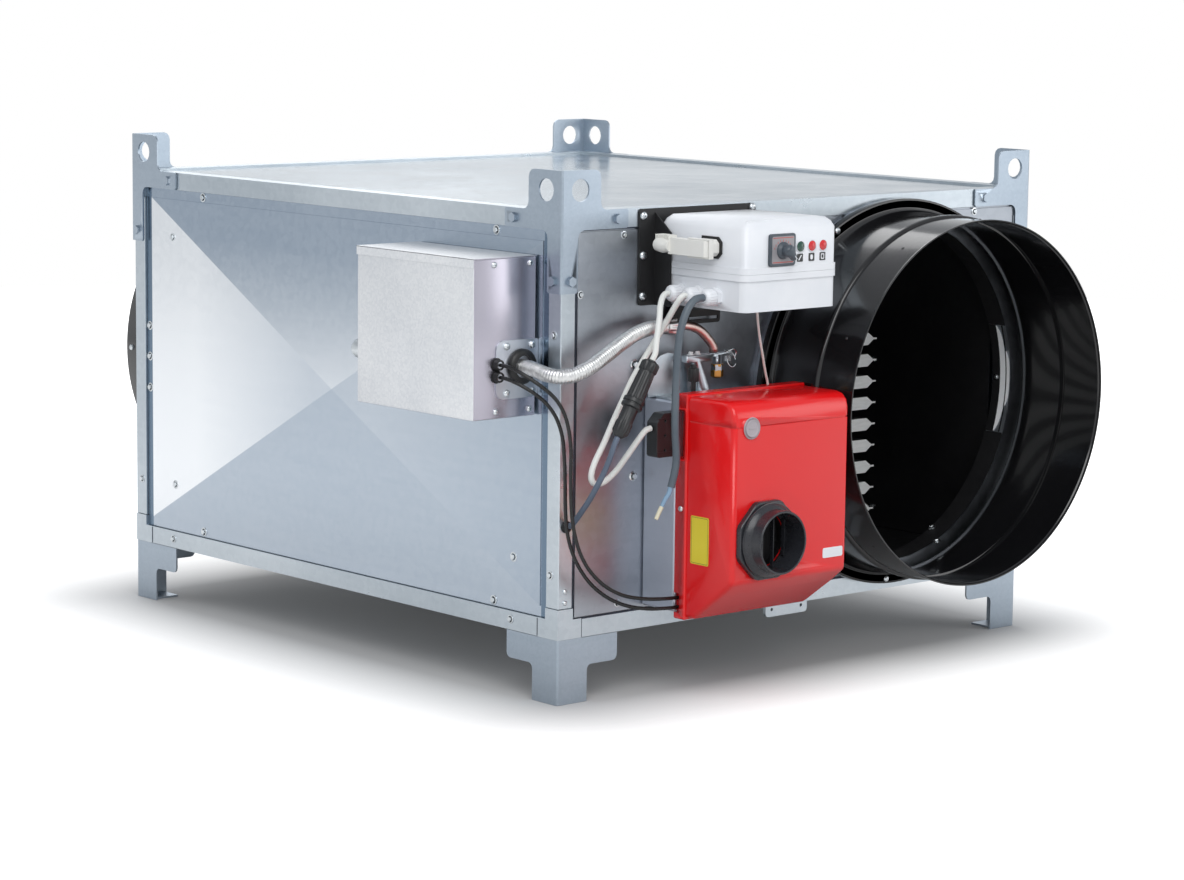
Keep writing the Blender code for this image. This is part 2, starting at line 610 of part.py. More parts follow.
# Overall reach, from which the origin under the middle follows
BRACKET_FACE = CORNER_PROUD + SEAT_GAP
RIGHT_REACH = CASING_WIDTH + BRACKET_FACE + BRACKET_PLATE + BOLT_HEAD
FRONT_REACH = COVER_FORWARD + SEAT_GAP + INTAKE_REACH
REAR_REACH = CASING_LENGTH + FAN_RING_DEPTH
FAN_PLANE = CASING_LENGTH - FAN_INSET
MIDDLE = Vector(((RIGHT_REACH - SIDE_BOX_REACH) / 2, (REAR_REACH - FRONT_REACH) / 2, -FOOT_HEIGHT))

# Planes for flat outlines: what the outline's two directions and its thickness follow
FRONT = Euler((math.radians(90), 0, 0))
SIDE = Euler((math.radians(90), 0, math.radians(90)))
LEVEL = Euler((0, 0, 0))

FORWARD = Vector((0, -1, 0))
BACKWARD = Vector((0, 1, 0))
LEFTWARD = Vector((-1, 0, 0))
RIGHTWARD = Vector((1, 0, 0))
UPWARD = Vector((0, 0, 1))
DOWNWARD = Vector((0, 0, -1))
PLANES = {"FRONT": (FRONT, BACKWARD), "SIDE": (SIDE, RIGHTWARD), "LEVEL": (LEVEL, UPWARD)}


# Scene and materials
def emptied_scene():
    for old in list(bpy.data.objects):
        bpy.data.objects.remove(old, do_unlink=True)
    heater = bpy.data.collections.new("air_heater")
    bpy.context.scene.collection.children.link(heater)
    return heater


HEATER = emptied_scene()
CARRIER = bpy.data.objects.new("casing_corner", None)
CARRIER.location = -MIDDLE
HEATER.objects.link(CARRIER)


def finish(name, colour, roughness, metallic):
    look = bpy.data.materials.new(name)
    look.use_nodes = True
    shader = look.node_tree.nodes["Principled BSDF"]
    shader.inputs["Base Color"].default_value = (*colour, 1)
    shader.inputs["Roughness"].default_value = roughness
    shader.inputs["Metallic"].default_value = metallic
    return look


FINISHES = {
    "galvanised": ((0.62, 0.67, 0.72), 0.35, 0.9),
    "cast_corner": ((0.66, 0.64, 0.64), 0.5, 0.8),
    "zinc_plated": ((0.60, 0.68, 0.72), 0.4, 0.85),
    "black_enamel": ((0.012, 0.012, 0.014), 0.25, 0.0),
    "red_enamel": ((0.72, 0.035, 0.03), 0.22, 0.0),
    "white_plastic": ((0.85, 0.86, 0.88), 0.4, 0.0),
    "black_plastic": ((0.02, 0.02, 0.022), 0.45, 0.0),
    "grey_plastic": ((0.10, 0.11, 0.12), 0.45, 0.0),
    "beige_plastic": ((0.72, 0.70, 0.64), 0.5, 0.0),
    "button_plastic": ((0.50, 0.50, 0.50), 0.4, 0.0),
    "green_lamp": ((0.02, 0.12, 0.07), 0.2, 0.0),
    "red_lamp": ((0.60, 0.02, 0.02), 0.2, 0.0),
    "heated_steel": ((0.30, 0.30, 0.31), 0.5, 0.9),
    "foil": ((0.75, 0.76, 0.77), 0.35, 0.95),
    "copper_pipe": ((0.75, 0.45, 0.40), 0.3, 0.9),
    "pale_sheath": ((0.82, 0.83, 0.82), 0.5, 0.0),
    "blue_grey_sheath": ((0.20, 0.25, 0.32), 0.5, 0.0),
    "dark_sheath": ((0.12, 0.14, 0.16), 0.5, 0.0),
    "black_sheath": ((0.015, 0.015, 0.017), 0.4, 0.0),
    "rubber": ((0.018, 0.018, 0.02), 0.7, 0.0),
}
MADE_FINISHES = {}


def finish_named(name):
    if name not in MADE_FINISHES:
        MADE_FINISHES[name] = finish(name, *FINISHES[name])
    return MADE_FINISHES[name]


# Making, joining and keeping solids
def linked(name, data):
    piece = bpy.data.objects.new(name, data)
    HEATER.objects.link(piece)
    return piece


def turned_outward(cage):
    """Point all faces of a closed cage out of it."""
    bmesh.ops.recalc_face_normals(cage, faces=cage.faces)
    if cage.calc_volume(signed=True) < 0:
        bmesh.ops.reverse_faces(cage, faces=cage.faces)


def baked(piece):
    """The piece as a mesh in the casing frame, with its modifiers and its placing worked in."""
    bpy.context.view_layer.update()
    graph = bpy.context.evaluated_depsgraph_get()
    mesh = bpy.data.meshes.new_from_object(piece.evaluated_get(graph), depsgraph=graph)
    mesh.transform(piece.matrix_world)
    cage = bmesh.new()
    cage.from_mesh(mesh)
    bmesh.ops.remove_doubles(cage, verts=cage.verts, dist=WELD)
    turned_outward(cage)
    cage.to_mesh(mesh)
    cage.free()
    bpy.data.objects.remove(piece)
    return linked("solid", mesh)


def combined(base, tools, operation):
    for tool in tools:
        step = base.modifiers.new(operation.lower(), "BOOLEAN")
        step.operation = operation
        step.solver = "EXACT"
        step.object = tool
    result = baked(base)
    for tool in tools:
        bpy.data.objects.remove(tool)
    return result


def fused(base, *tools):
    return combined(base, tools, "UNION")


def carved(base, *tools):
    return combined(base, tools, "DIFFERENCE")


def gathered(pieces):
    """Pieces that lie apart from each other, as one tool for a cut or a union."""
    cage = bmesh.new()
    for piece in pieces:
        cage.from_mesh(piece.data)
        bpy.data.objects.remove(piece)
    mesh = bpy.data.meshes.new("group")
    cage.to_mesh(mesh)
    cage.free()
    return linked("group", mesh)


def kept(piece, name, look, axis_point=None):
    """Name the finished solid, give it its finish, and put its origin on its joint axis."""
    point = Vector(axis_point) if axis_point else Vector((0, 0, 0))
    mesh = piece.data
    mesh.transform(Matrix.Translation(-point))
    mesh.materials.clear()
    mesh.materials.append(finish_named(look))
    mesh.shade_smooth()
    mesh.set_sharp_from_angle(angle=math.radians(32))
    mesh.name = name
    piece.name = name
    piece.parent = CARRIER
    piece.location = point
    return piece


# Basic shapes
def from_cage(cage):
    mesh = bpy.data.meshes.new("shape")
    cage.to_mesh(mesh)
    cage.free()
    return linked("shape", mesh)


def cube_cage(low, high):
    low = Vector(low)
    span = Vector(high) - low
    cage = bmesh.new()
    bmesh.ops.create_cube(cage, size=1)
    for vert in cage.verts:
        vert.co = Vector(low[i] + (vert.co[i] + 0.5) * span[i] for i in range(3))
    return cage


def block(low, high, edge=0, edge_steps=2):
    cage = cube_cage(low, high)
    if edge:
        bmesh.ops.bevel(cage, geom=cage.edges[:], offset=edge, segments=edge_steps, profile=0.5, affect="EDGES")
    return from_cage(cage)


def drum(start, direction, radius, length, steps=ROUND_STEPS, end_radius=None, turn=0):
    """A cylinder or cone that begins at a point and runs along a direction."""
    cage = bmesh.new()
    bmesh.ops.create_cone(cage, cap_ends=True, segments=steps, radius1=radius,
                          radius2=radius if end_radius is None else end_radius, depth=length)
    place = Matrix.Translation(Vector(start) + direction * length / 2)
    aim = direction.to_track_quat("Z", "Y").to_matrix().to_4x4()
    cage.transform(place @ aim @ Matrix.Rotation(turn, 4, "Z"))
    return from_cage(cage)


def turned(profile, start, direction, steps=DUCT_STEPS, wall=0, closed=False):
    """A profile of (radius, distance) points, listed from the far end back, turned about a direction."""
    mesh = bpy.data.meshes.new("profile")
    links = [(i, i + 1) for i in range(len(profile) - 1)]
    if closed:
        links.append((len(profile) - 1, 0))
    mesh.from_pydata([(radius, 0, along) for radius, along in profile], links, [])
    piece = linked("turned", mesh)
    piece.location = start
    piece.rotation_mode = "QUATERNION"
    piece.rotation_quaternion = direction.to_track_quat("Z", "Y")
    screw = piece.modifiers.new("turn", "SCREW")
    screw.axis = "Z"
    screw.steps = steps
    screw.render_steps = steps
    screw.use_merge_vertices = True
    screw.merge_threshold = WELD
    if wall:
        shell = piece.modifiers.new("wall", "SOLIDIFY")
        shell.thickness = wall
        shell.offset = -1
        shell.use_even_offset = True
    return baked(piece)


def circle(centre, radius, steps=ROUND_STEPS):
    return [(centre[0] + radius * math.cos(2 * math.pi * i / steps),
             centre[1] + radius * math.sin(2 * math.pi * i / steps)) for i in range(steps)]


def rounded(corners, steps=CORNER_STEPS):
    """Corner points (a, b, radius), each turned into an arc, or into a chamfer where the radius is small."""
    outline = []
    for i, (a, b, radius) in enumerate(corners):
        here = Vector((a, b))
        if not radius:
            outline.append((a, b))
            continue
        before = (Vector(corners[i - 1][:2]) - here).normalized()
        after = (Vector(corners[(i + 1) % len(corners)][:2]) - here).normalized()
        half = before.angle(after) / 2
        centre = here + (before + after).normalized() * radius / math.sin(half)
        first = here + before * radius / math.tan(half) - centre
        last = here + after * radius / math.tan(half) - centre
        sweep = first.angle_signed(last)
        arcs = steps if radius > CHAMFER_LIMIT else 1
        for step in range(arcs + 1):
            turn = Matrix.Rotation(-sweep * step / arcs, 2)
            point = centre + turn @ first
            outline.append((point.x, point.y))
    return outline


def oblong(a_low, b_low, a_high, b_high, radius=0, steps=CORNER_STEPS):
    return rounded([(a_low, b_low, radius), (a_high, b_low, radius),
                    (a_high, b_high, radius), (a_low, b_high, radius)], steps)


def slab(plane, low, high, outline, holes=()):
    """A flat outline with holes, from one distance to another along the plane's thickness."""
    curve = bpy.data.curves.new("outline", "CURVE")
    curve.dimensions = "2D"
    curve.fill_mode = "BOTH"
    curve.extrude = (high - low) / 2
    for loop in (outline, *holes):
        spline = curve.splines.new("POLY")
        spline.points.add(len(loop) - 1)
        for point, (a, b) in zip(spline.points, loop):
            point.co = (a, b, 0, 1)
        spline.use_cyclic_u = True
    piece = linked("slab", curve)
    turn, thickness_way = PLANES[plane]
    piece.rotation_euler = turn
    piece.location = thickness_way * (low + high) / 2
    return baked(piece)


def tube(points, radius, resolution=2, radii=None):
    curve = bpy.data.curves.new("tube", "CURVE")
    curve.dimensions = "3D"
    curve.bevel_depth = radius
    curve.bevel_resolution = resolution
    curve.use_fill_caps = True
    spline = curve.splines.new("POLY")
    spline.points.add(len(points) - 1)
    for i, point in enumerate(points):
        spline.points[i].co = (*point, 1)
        if radii:
            spline.points[i].radius = radii[i]
    return baked(linked("tube", curve))


def route_points(route, start=None, end=None):
    """The points of a route. Where a place for an end is given, the points follow it by their share of the way."""
    points = [Vector(point) * MM for point in route]
    shift_first = Vector(start) - points[0] if start else Vector()
    shift_last = Vector(end) - points[-1] if end else Vector()
    last = len(points) - 1
    return [point + shift_first.lerp(shift_last, i / last) for i, point in enumerate(points)]


def smooth_line(points, spacing):
    """Evenly spaced points on a smooth curve that passes through the given points."""
    ends = [points[0] * 2 - points[1], *points, points[-1] * 2 - points[-2]]
    fine = []
    samples = 24
    for i in range(1, len(ends) - 2):
        p0, p1, p2, p3 = ends[i - 1:i + 3]
        for step in range(samples):
            t = step / samples
            fine.append(0.5 * (2 * p1 + (p2 - p0) * t + (2 * p0 - 5 * p1 + 4 * p2 - p3) * t ** 2
                               + (3 * p1 - p0 - 3 * p2 + p3) * t ** 3))
    fine.append(points[-1])
    lengths = [0]
    for a, b in zip(fine, fine[1:]):
        lengths.append(lengths[-1] + (b - a).length)
    count = max(2, round(lengths[-1] / spacing))
    line = []
    index = 0
    for step in range(count + 1):
        target = lengths[-1] * step / count
        while index < len(fine) - 2 and lengths[index + 1] < target:
            index += 1
        stretch = lengths[index + 1] - lengths[index]
        line.append(fine[index].lerp(fine[index + 1], (target - lengths[index]) / stretch))
    return line


# Casing frame
def corner_signs():
    return [("front_left", 1, 1), ("front_right", -1, 1), ("rear_left", 1, -1), ("rear_right", -1, -1)]


def from_corner(x_sign, y_sign, reach_x, reach_y):
    """A point measured inwards from one of the four casing corners, seen from above."""
    return (reach_x if x_sign > 0 else CASING_WIDTH - reach_x,
            reach_y if y_sign > 0 else CASING_LENGTH - reach_y)


def span(a, b):
    return (min(a, b), max(a, b))


def corner_block(x_sign, y_sign, reach_x, reach_y, low, high, proud, edge=0, edge_steps=1):
    x0, y0 = from_corner(x_sign, y_sign, -proud, -proud)
    x1, y1 = from_corner(x_sign, y_sign, reach_x, reach_y)
    x_low, x_high = span(x0, x1)
    y_low, y_high = span(y0, y1)
    return block((x_low, y_low, low), (x_high, y_high, high), edge, edge_steps)


def frame_ring(upward):
    """The four rails of one end of the casing with its cast corners; upward is 1 below, -1 on top."""
    outer = 0 if upward > 0 else CASING_HEIGHT
    low, high = span(outer, outer + upward * RAIL)
    ring = slab("LEVEL", low, high, oblong(0, 0, CASING_WIDTH, CASING_LENGTH),
                [oblong(RAIL, RAIL, CASING_WIDTH - RAIL, CASING_LENGTH - RAIL)])
    leg_low, leg_high = span(outer - upward * CORNER_PROUD, outer + upward * (RAIL + CORNER_PROUD))
    stub_low, stub_high = span(outer - upward * CORNER_PROUD, outer + upward * CORNER_LEG)
    inner = RAIL + CORNER_PROUD
    along_x = []
    along_y = []
    stubs = []
    for name, x_sign, y_sign in corner_signs():
        along_x.append(corner_block(x_sign, y_sign, CORNER_LEG, inner, leg_low, leg_high, CORNER_PROUD))
        along_y.append(corner_block(x_sign, y_sign, inner, CORNER_LEG, leg_low, leg_high, CORNER_PROUD))
        stubs.append(corner_block(x_sign, y_sign, inner, inner, stub_low, stub_high, CORNER_PROUD))
    return fused(ring, gathered(along_x), gathered(along_y), gathered(stubs))


def support_tab():
    left = TAB_PLATE_LEFT
    right = TAB_PLATE_LEFT + TAB_PLATE_WIDTH
    outline = rounded([(left, -TAB_PLATE_DROP, TAB_PLATE_ROUND), (right, -TAB_PLATE_DROP, TAB_PLATE_ROUND),
                       (right, TAB_PLATE_LAP, 0), (left, TAB_PLATE_LAP, 0)])
    holes = [circle((place, -TAB_PLATE_HOLE_DROP), TAB_PLATE_HOLE_RADIUS, SMALL_STEPS // 2)
             for place in (left + TAB_PLATE_HOLE_INSET, right - TAB_PLATE_HOLE_INSET)]
    return slab("FRONT", -TAB_PLATE_PROUD, RAIL_EDGE, outline, holes)


def make_frame():
    kept(fused(frame_ring(1), support_tab()), "base_frame", "galvanised")
    kept(frame_ring(-1), "top_frame", "galvanised")
    low = CORNER_LEG + SEAT_GAP
    high = CASING_HEIGHT - CORNER_LEG - SEAT_GAP
    for name, x_sign, y_sign in corner_signs():
        kept(corner_block(x_sign, y_sign, RAIL, RAIL, low, high, 0, RAIL_EDGE), "post_" + name, "galvanised")


# Panels
def tray(axis, side, low, high, rim, drop, step, rise):
    """A panel whose outer face has a sunk rim, a step and, where it rises, a pyramid cross-break."""
    low, high = list(low), list(high)
    if side < 0:
        low[axis] += drop
    else:
        high[axis] -= drop
    cage = cube_cage(low, high)
    outward = Vector((0, 0, 0))
    outward[axis] = side
    face = max(cage.faces, key=lambda f: f.calc_center_median()[axis] * side)
    bmesh.ops.inset_region(cage, faces=[face], thickness=rim, use_even_offset=True)
    bmesh.ops.inset_region(cage, faces=[face], thickness=SEAT_GAP, use_even_offset=True)
    for vert in face.verts:
        vert.co += outward * step
    if rise:
        made = bmesh.ops.poke(cage, faces=[face])
        for vert in made["verts"]:
            vert.co += outward * rise
    return from_cage(cage)


def panel_box(axis, side):
    """The space of one panel between the rails, with its fit."""
    sizes = (CASING_WIDTH, CASING_LENGTH, CASING_HEIGHT)
    low = [RAIL + PANEL_FIT] * 3
    high = [size - RAIL - PANEL_FIT for size in sizes]
    if side < 0:
        low[axis], high[axis] = 0, RAIL
    else:
        low[axis], high[axis] = sizes[axis] - RAIL, sizes[axis]
    return low, high


def flush_panel(axis, side):
    low, high = panel_box(axis, side)
    return tray(axis, side, low, high, GROOVE_WIDTH, GROOVE_DEPTH, GROOVE_DEPTH, 0)


def raised_panel(axis, side):
    low, high = panel_box(axis, side)
    return tray(axis, side, low, high, STRIP_WIDTH, STRIP_DROP, PANEL_STEP, CROSS_BREAK)


def make_front_panel():
    face = Vector((OUTLET_X, 0, OUTLET_Z))
    spacer = drum(face + FORWARD * SEAT_GAP, FORWARD, FLANGE_RADIUS + SPACER_PROUD, SPACER_DEPTH, DUCT_STEPS)
    neck = drum(face + BACKWARD * GROOVE_DEPTH / 2, FORWARD, OPENING_RADIUS + SPACER_NECK_WALL,
                (GROOVE_DEPTH + SPACER_DEPTH) / 2, DUCT_STEPS)
    opening = drum(face + BACKWARD * (RAIL + OVERRUN), FORWARD, OPENING_RADIUS,
                   RAIL + SPACER_DEPTH + 2 * OVERRUN, DUCT_STEPS)
    burner = Vector((BLAST_TUBE_X, RAIL + OVERRUN, BLAST_TUBE_Z))
    port = drum(burner, FORWARD, BLAST_TUBE_RADIUS + SLIDE_GAP, RAIL + 2 * OVERRUN)
    whole = fused(flush_panel(1, -1), neck, spacer)
    kept(carved(whole, opening, port), "front_panel", "galvanised")


def make_rear_panel():
    fan = Vector((FAN_X, CASING_LENGTH - RAIL - OVERRUN, FAN_Z))
    flue = Vector((FLUE_X, CASING_LENGTH - RAIL - OVERRUN, FLUE_Z))
    through = RAIL + 2 * OVERRUN
    inlet = drum(fan, BACKWARD, FAN_RING_RADIUS - FAN_RING_WALL - FAN_RING_ROLL, through, DUCT_STEPS)
    port = drum(flue, BACKWARD, FLUE_RADIUS + SLIDE_GAP, through, FLUE_STEPS)
    kept(carved(flush_panel(1, 1), inlet, port), "rear_panel", "galvanised")


def make_left_panel():
    bosses = []
    for y in (SIDE_BOX_FRONT + BOSS_INSET, SIDE_BOX_REAR - BOSS_INSET):
        for z in (SIDE_BOX_BOTTOM + BOSS_INSET, SIDE_BOX_TOP - BOSS_INSET):
            bosses.append(drum((RAIL / 2, y, z), LEFTWARD, BOSS_RADIUS, RAIL / 2 - SEAT_GAP, SMALL_STEPS))
    kept(fused(raised_panel(0, -1), gathered(bosses)), "left_panel", "galvanised")


def make_panels():
    make_front_panel()
    make_rear_panel()
    make_left_panel()
    kept(raised_panel(0, 1), "right_panel", "galvanised")
    kept(raised_panel(2, 1), "top_panel", "galvanised")
    kept(flush_panel(2, -1), "bottom_panel", "galvanised")


# Lifting brackets and feet
def folded_plate(outline, holes, inner_face, thickness, x_sign, y_sign):
    """A plate bent round a casing corner: the same outline on both faces, joined by the bend.

    The outline's first direction is the reach from the casing corner, and it starts and ends at no
    reach. The plate's inner side lies at inner_face, measured inwards; its thickness goes outwards.
    """
    centre = inner_face + BEND_RADIUS
    outer_face = inner_face - thickness
    flat = [(reach or centre, height) for reach, height in outline]
    fold_x, fold_y = from_corner(x_sign, y_sign, centre, centre)
    sides = (
        ("FRONT", x_sign, CASING_WIDTH, [from_corner(x_sign, y_sign, 0, face)[1] for face in (inner_face, outer_face)]),
        ("SIDE", y_sign, CASING_LENGTH, [from_corner(x_sign, y_sign, face, 0)[0] for face in (inner_face, outer_face)]))
    cage = bmesh.new()
    for plane, sign, size, faces in sides:
        loops = [[(reach if sign > 0 else size - reach, height) for reach, height in loop] for loop in (flat, *holes)]
        wall = slab(plane, *span(*faces), loops[0], loops[1:])
        cage.from_mesh(wall.data)
        bpy.data.objects.remove(wall)
    ends = [face for face in cage.faces
            if all(abs(vert.co.x - fold_x) < WELD for vert in face.verts)
            or all(abs(vert.co.y - fold_y) < WELD for vert in face.verts)]
    bmesh.ops.delete(cage, geom=ends, context="FACES_ONLY")
    low, high = span(outline[0][1], outline[-1][1])
    rings = []
    for step in range(BEND_STEPS + 1):
        turn = math.radians(90) * step / BEND_STEPS
        ring = []
        for radius, height in ((BEND_RADIUS, low), (BEND_RADIUS, high),
                               (BEND_RADIUS + thickness, high), (BEND_RADIUS + thickness, low)):
            x, y = from_corner(x_sign, y_sign, centre - radius * math.sin(turn), centre - radius * math.cos(turn))
            ring.append(cage.verts.new((x, y, height)))
        rings.append(ring)
    for ring, following in zip(rings, rings[1:]):
        for i in range(len(ring)):
            j = (i + 1) % len(ring)
            cage.faces.new((ring[i], ring[j], following[j], following[i]))
    bmesh.ops.remove_doubles(cage, verts=cage.verts, dist=WELD)
    turned_outward(cage)
    return from_cage(cage)


def bracket_outline():
    arm_bottom = CASING_HEIGHT - RAIL
    return rounded([
        (0, LEG_BOTTOM, 0), (RAIL, LEG_BOTTOM, ARM_END_ROUND), (RAIL, arm_bottom, BRACKET_FILLET),
        (ARM_REACH, arm_bottom, ARM_END_ROUND), (ARM_REACH, CASING_HEIGHT, ARM_END_ROUND),
        (EYE_TAB_REACH, CASING_HEIGHT, BRACKET_FILLET), (EYE_TAB_REACH, BRACKET_TOP, EYE_TAB_ROUND),
        (0, BRACKET_TOP, 0)])


def corner_bolts(x_sign, y_sign):
    """Hexagon heads of the screws that hold one bracket: two on each face."""
    heads = []
    face = BRACKET_FACE + BRACKET_PLATE - OVERRUN / 4
    for reach, height in ((ARM_BOLT_REACH, CASING_HEIGHT - RAIL / 2), (RAIL / 2, LEG_BOLT_HEIGHT)):
        x, y = from_corner(x_sign, y_sign, reach, -face)
        heads.append(drum((x, y, height), FORWARD * y_sign, BOLT_RADIUS, BOLT_HEAD + OVERRUN / 4, BOLT_STEPS))
        x, y = from_corner(x_sign, y_sign, -face, reach)
        heads.append(drum((x, y, height), LEFTWARD * x_sign, BOLT_RADIUS, BOLT_HEAD + OVERRUN / 4, BOLT_STEPS))
    return gathered(heads)


def make_brackets():
    outline = bracket_outline()
    eye = circle((EYE_REACH, EYE_HEIGHT), EYE_RADIUS, EYE_STEPS)
    for name, x_sign, y_sign in corner_signs():
        plate = folded_plate(outline, [eye], -BRACKET_FACE, BRACKET_PLATE, x_sign, y_sign)
        kept(fused(plate, corner_bolts(x_sign, y_sign)), "lifting_bracket_" + name, "zinc_plated")


def foot_flange(x_sign, y_sign, width, reach, low, high, hole_radius):
    """A level plate folded in from both walls of a foot: square, or an angle of strips."""
    inset = FOOT_PLATE / 2
    if width < reach:
        corners = [(inset, inset), (reach, inset), (reach, width), (width, width), (width, reach), (inset, reach)]
    else:
        corners = [(inset, inset), (reach, inset), (reach, reach), (inset, reach)]
    outline = [from_corner(x_sign, y_sign, a, b) for a, b in corners]
    holes = []
    if hole_radius:
        holes.append(circle(from_corner(x_sign, y_sign, reach / 2, reach / 2), hole_radius, SMALL_STEPS))
    return slab("LEVEL", low, high, outline, holes)


def make_feet():
    top = -BRACKET_FACE
    wall_foot = 2 * WELD - FOOT_HEIGHT
    outline = rounded([
        (0, wall_foot, 0), (FOOT_LEG_WIDTH, wall_foot, 0),
        (FOOT_LEG_WIDTH, -FOOT_WING_DEPTH, FOOT_ROUND), (FOOT_WING_REACH, -FOOT_WING_DEPTH, FOOT_ROUND),
        (FOOT_WING_REACH, top, 0), (0, top, 0)])
    for name, x_sign, y_sign in corner_signs():
        walls = folded_plate(outline, [], FOOT_PLATE, FOOT_PLATE, x_sign, y_sign)
        flange = foot_flange(x_sign, y_sign, FOOT_FLANGE_WIDTH, FOOT_WING_REACH - FOOT_PLATE,
                             top - FOOT_PLATE, top - 2 * WELD, 0)
        sole = foot_flange(x_sign, y_sign, SOLE_WIDTH, SOLE_WIDTH,
                           -FOOT_HEIGHT, FOOT_PLATE - FOOT_HEIGHT, SOLE_HOLE_RADIUS)
        kept(fused(walls, flange, sole), "foot_" + name, "zinc_plated")


# Outlet
def quarter_curve(radius_from, radius_to, along_from, along_to, steps):
    """Profile points on a quarter of an ellipse, leaving the first radius square to the axis."""
    points = []
    for step in range(steps + 1):
        turn = math.radians(90) * step / steps
        points.append((radius_from + (radius_to - radius_from) * (1 - math.cos(turn)),
                       along_from + (along_to - along_from) * math.sin(turn)))
    return points


def make_outlet():
    face = Vector((OUTLET_X, 0, OUTLET_Z))
    rim_back = SPACER_DEPTH + 2 * SEAT_GAP
    rim_front = rim_back + FLANGE_RIM_DEPTH
    throat = quarter_curve(DUCT_RADIUS, FLANGE_BEAD_RADIUS, rim_front + THROAT_LENGTH,
                           rim_front + FLANGE_BEAD_RISE, THROAT_STEPS)
    flange = [
        (DUCT_RADIUS + SEAM_LIP, SEAM_FORWARD - DUCT_WALL), (DUCT_RADIUS, SEAM_FORWARD - DUCT_WALL), *throat,
        (FLANGE_BEAD_RADIUS + FLANGE_BEAD_RISE, rim_front),
        (FLANGE_RADIUS - FLANGE_BEAD_RISE, rim_front), (FLANGE_RADIUS, rim_front - FLANGE_BEAD_RISE),
        (FLANGE_RADIUS, rim_back)]
    kept(turned(flange, face, FORWARD, DUCT_STEPS, DUCT_WALL), "outlet_flange", "black_enamel")
    seat = SEAM_FORWARD + SEAT_GAP
    rim = DUCT_RADIUS + COLLAR_RIM_LIP
    collar = [
        (rim, COLLAR_FORWARD), (rim, COLLAR_FORWARD - COLLAR_RIM_WIDTH),
        (DUCT_RADIUS, COLLAR_FORWARD - 2 * COLLAR_RIM_WIDTH),
        (DUCT_RADIUS, seat + SEAM_HALF_WIDTH), (DUCT_RADIUS + SEAM_LIP, seat + SEAM_HALF_WIDTH / 2),
        (DUCT_RADIUS + SEAM_LIP, seat)]
    kept(turned(collar, face, FORWARD, DUCT_STEPS, DUCT_WALL), "outlet_collar", "black_enamel")


# Burner
def make_burner_mount():
    shell = block((MOUNT_LEFT, -MOUNT_FORWARD, MOUNT_BOTTOM), (MOUNT_RIGHT, -SEAT_GAP, MOUNT_TOP), MOUNT_EDGE, 1)
    bore = drum((BLAST_TUBE_X, OVERRUN, BLAST_TUBE_Z), FORWARD, BLAST_TUBE_RADIUS + SLIDE_GAP,
                MOUNT_FORWARD + 2 * OVERRUN)
    kept(carved(shell, bore), "burner_mount", "galvanised")
    start = Vector((BLAST_TUBE_X, BLAST_TUBE_INSIDE, BLAST_TUBE_Z))
    length = BLAST_TUBE_INSIDE + MOUNT_FORWARD
    pipe = drum(start, FORWARD, BLAST_TUBE_RADIUS, length)
    bore = drum(start + BACKWARD * OVERRUN, FORWARD, BLAST_TUBE_RADIUS - BLAST_TUBE_WALL,
                length + OVERRUN - BLAST_TUBE_WALL)
    kept(carved(pipe, bore), "burner_blast_tube", "heated_steel")


def cover_profile(back):
    """Side outline of the cover, (back, up): straight face, rounded brow and a chin that slopes back."""
    front = -COVER_FORWARD
    top = COVER_TOP - COVER_STRIP_PROUD
    bottom = COVER_BOTTOM + COVER_STRIP_PROUD
    return rounded([
        (back, bottom, 0), (back, top, 0), (front, top, COVER_TOP_ROUND), (front, COVER_CHIN_HEIGHT, COVER_CHIN_ROUND),
        (front + COVER_CHIN_SHELF_BACK, COVER_CHIN_SHELF, COVER_CHIN_ROUND),
        (front + COVER_CHIN_FOOT_BACK, bottom, COVER_CHIN_ROUND)])


def rounded_sides(piece, low, high, back, radius):
    """Round the rim of both side faces, except along the open back."""
    cage = bmesh.new()
    cage.from_mesh(piece.data)
    bmesh.ops.dissolve_limit(cage, angle_limit=math.radians(1), verts=cage.verts, edges=cage.edges)
    rim = []
    for edge in cage.edges:
        ends = [vert.co for vert in edge.verts]
        on_side = any(all(abs(end.x - side) < WELD for end in ends) for side in (low, high))
        if on_side and not all(abs(end.y - back) < WELD for end in ends):
            rim.append(edge)
    bmesh.ops.bevel(cage, geom=rim, offset=radius, segments=3, profile=0.5, affect="EDGES", clamp_overlap=True)
    bmesh.ops.triangulate(cage, faces=cage.faces)
    cage.to_mesh(piece.data)
    cage.free()
    return piece


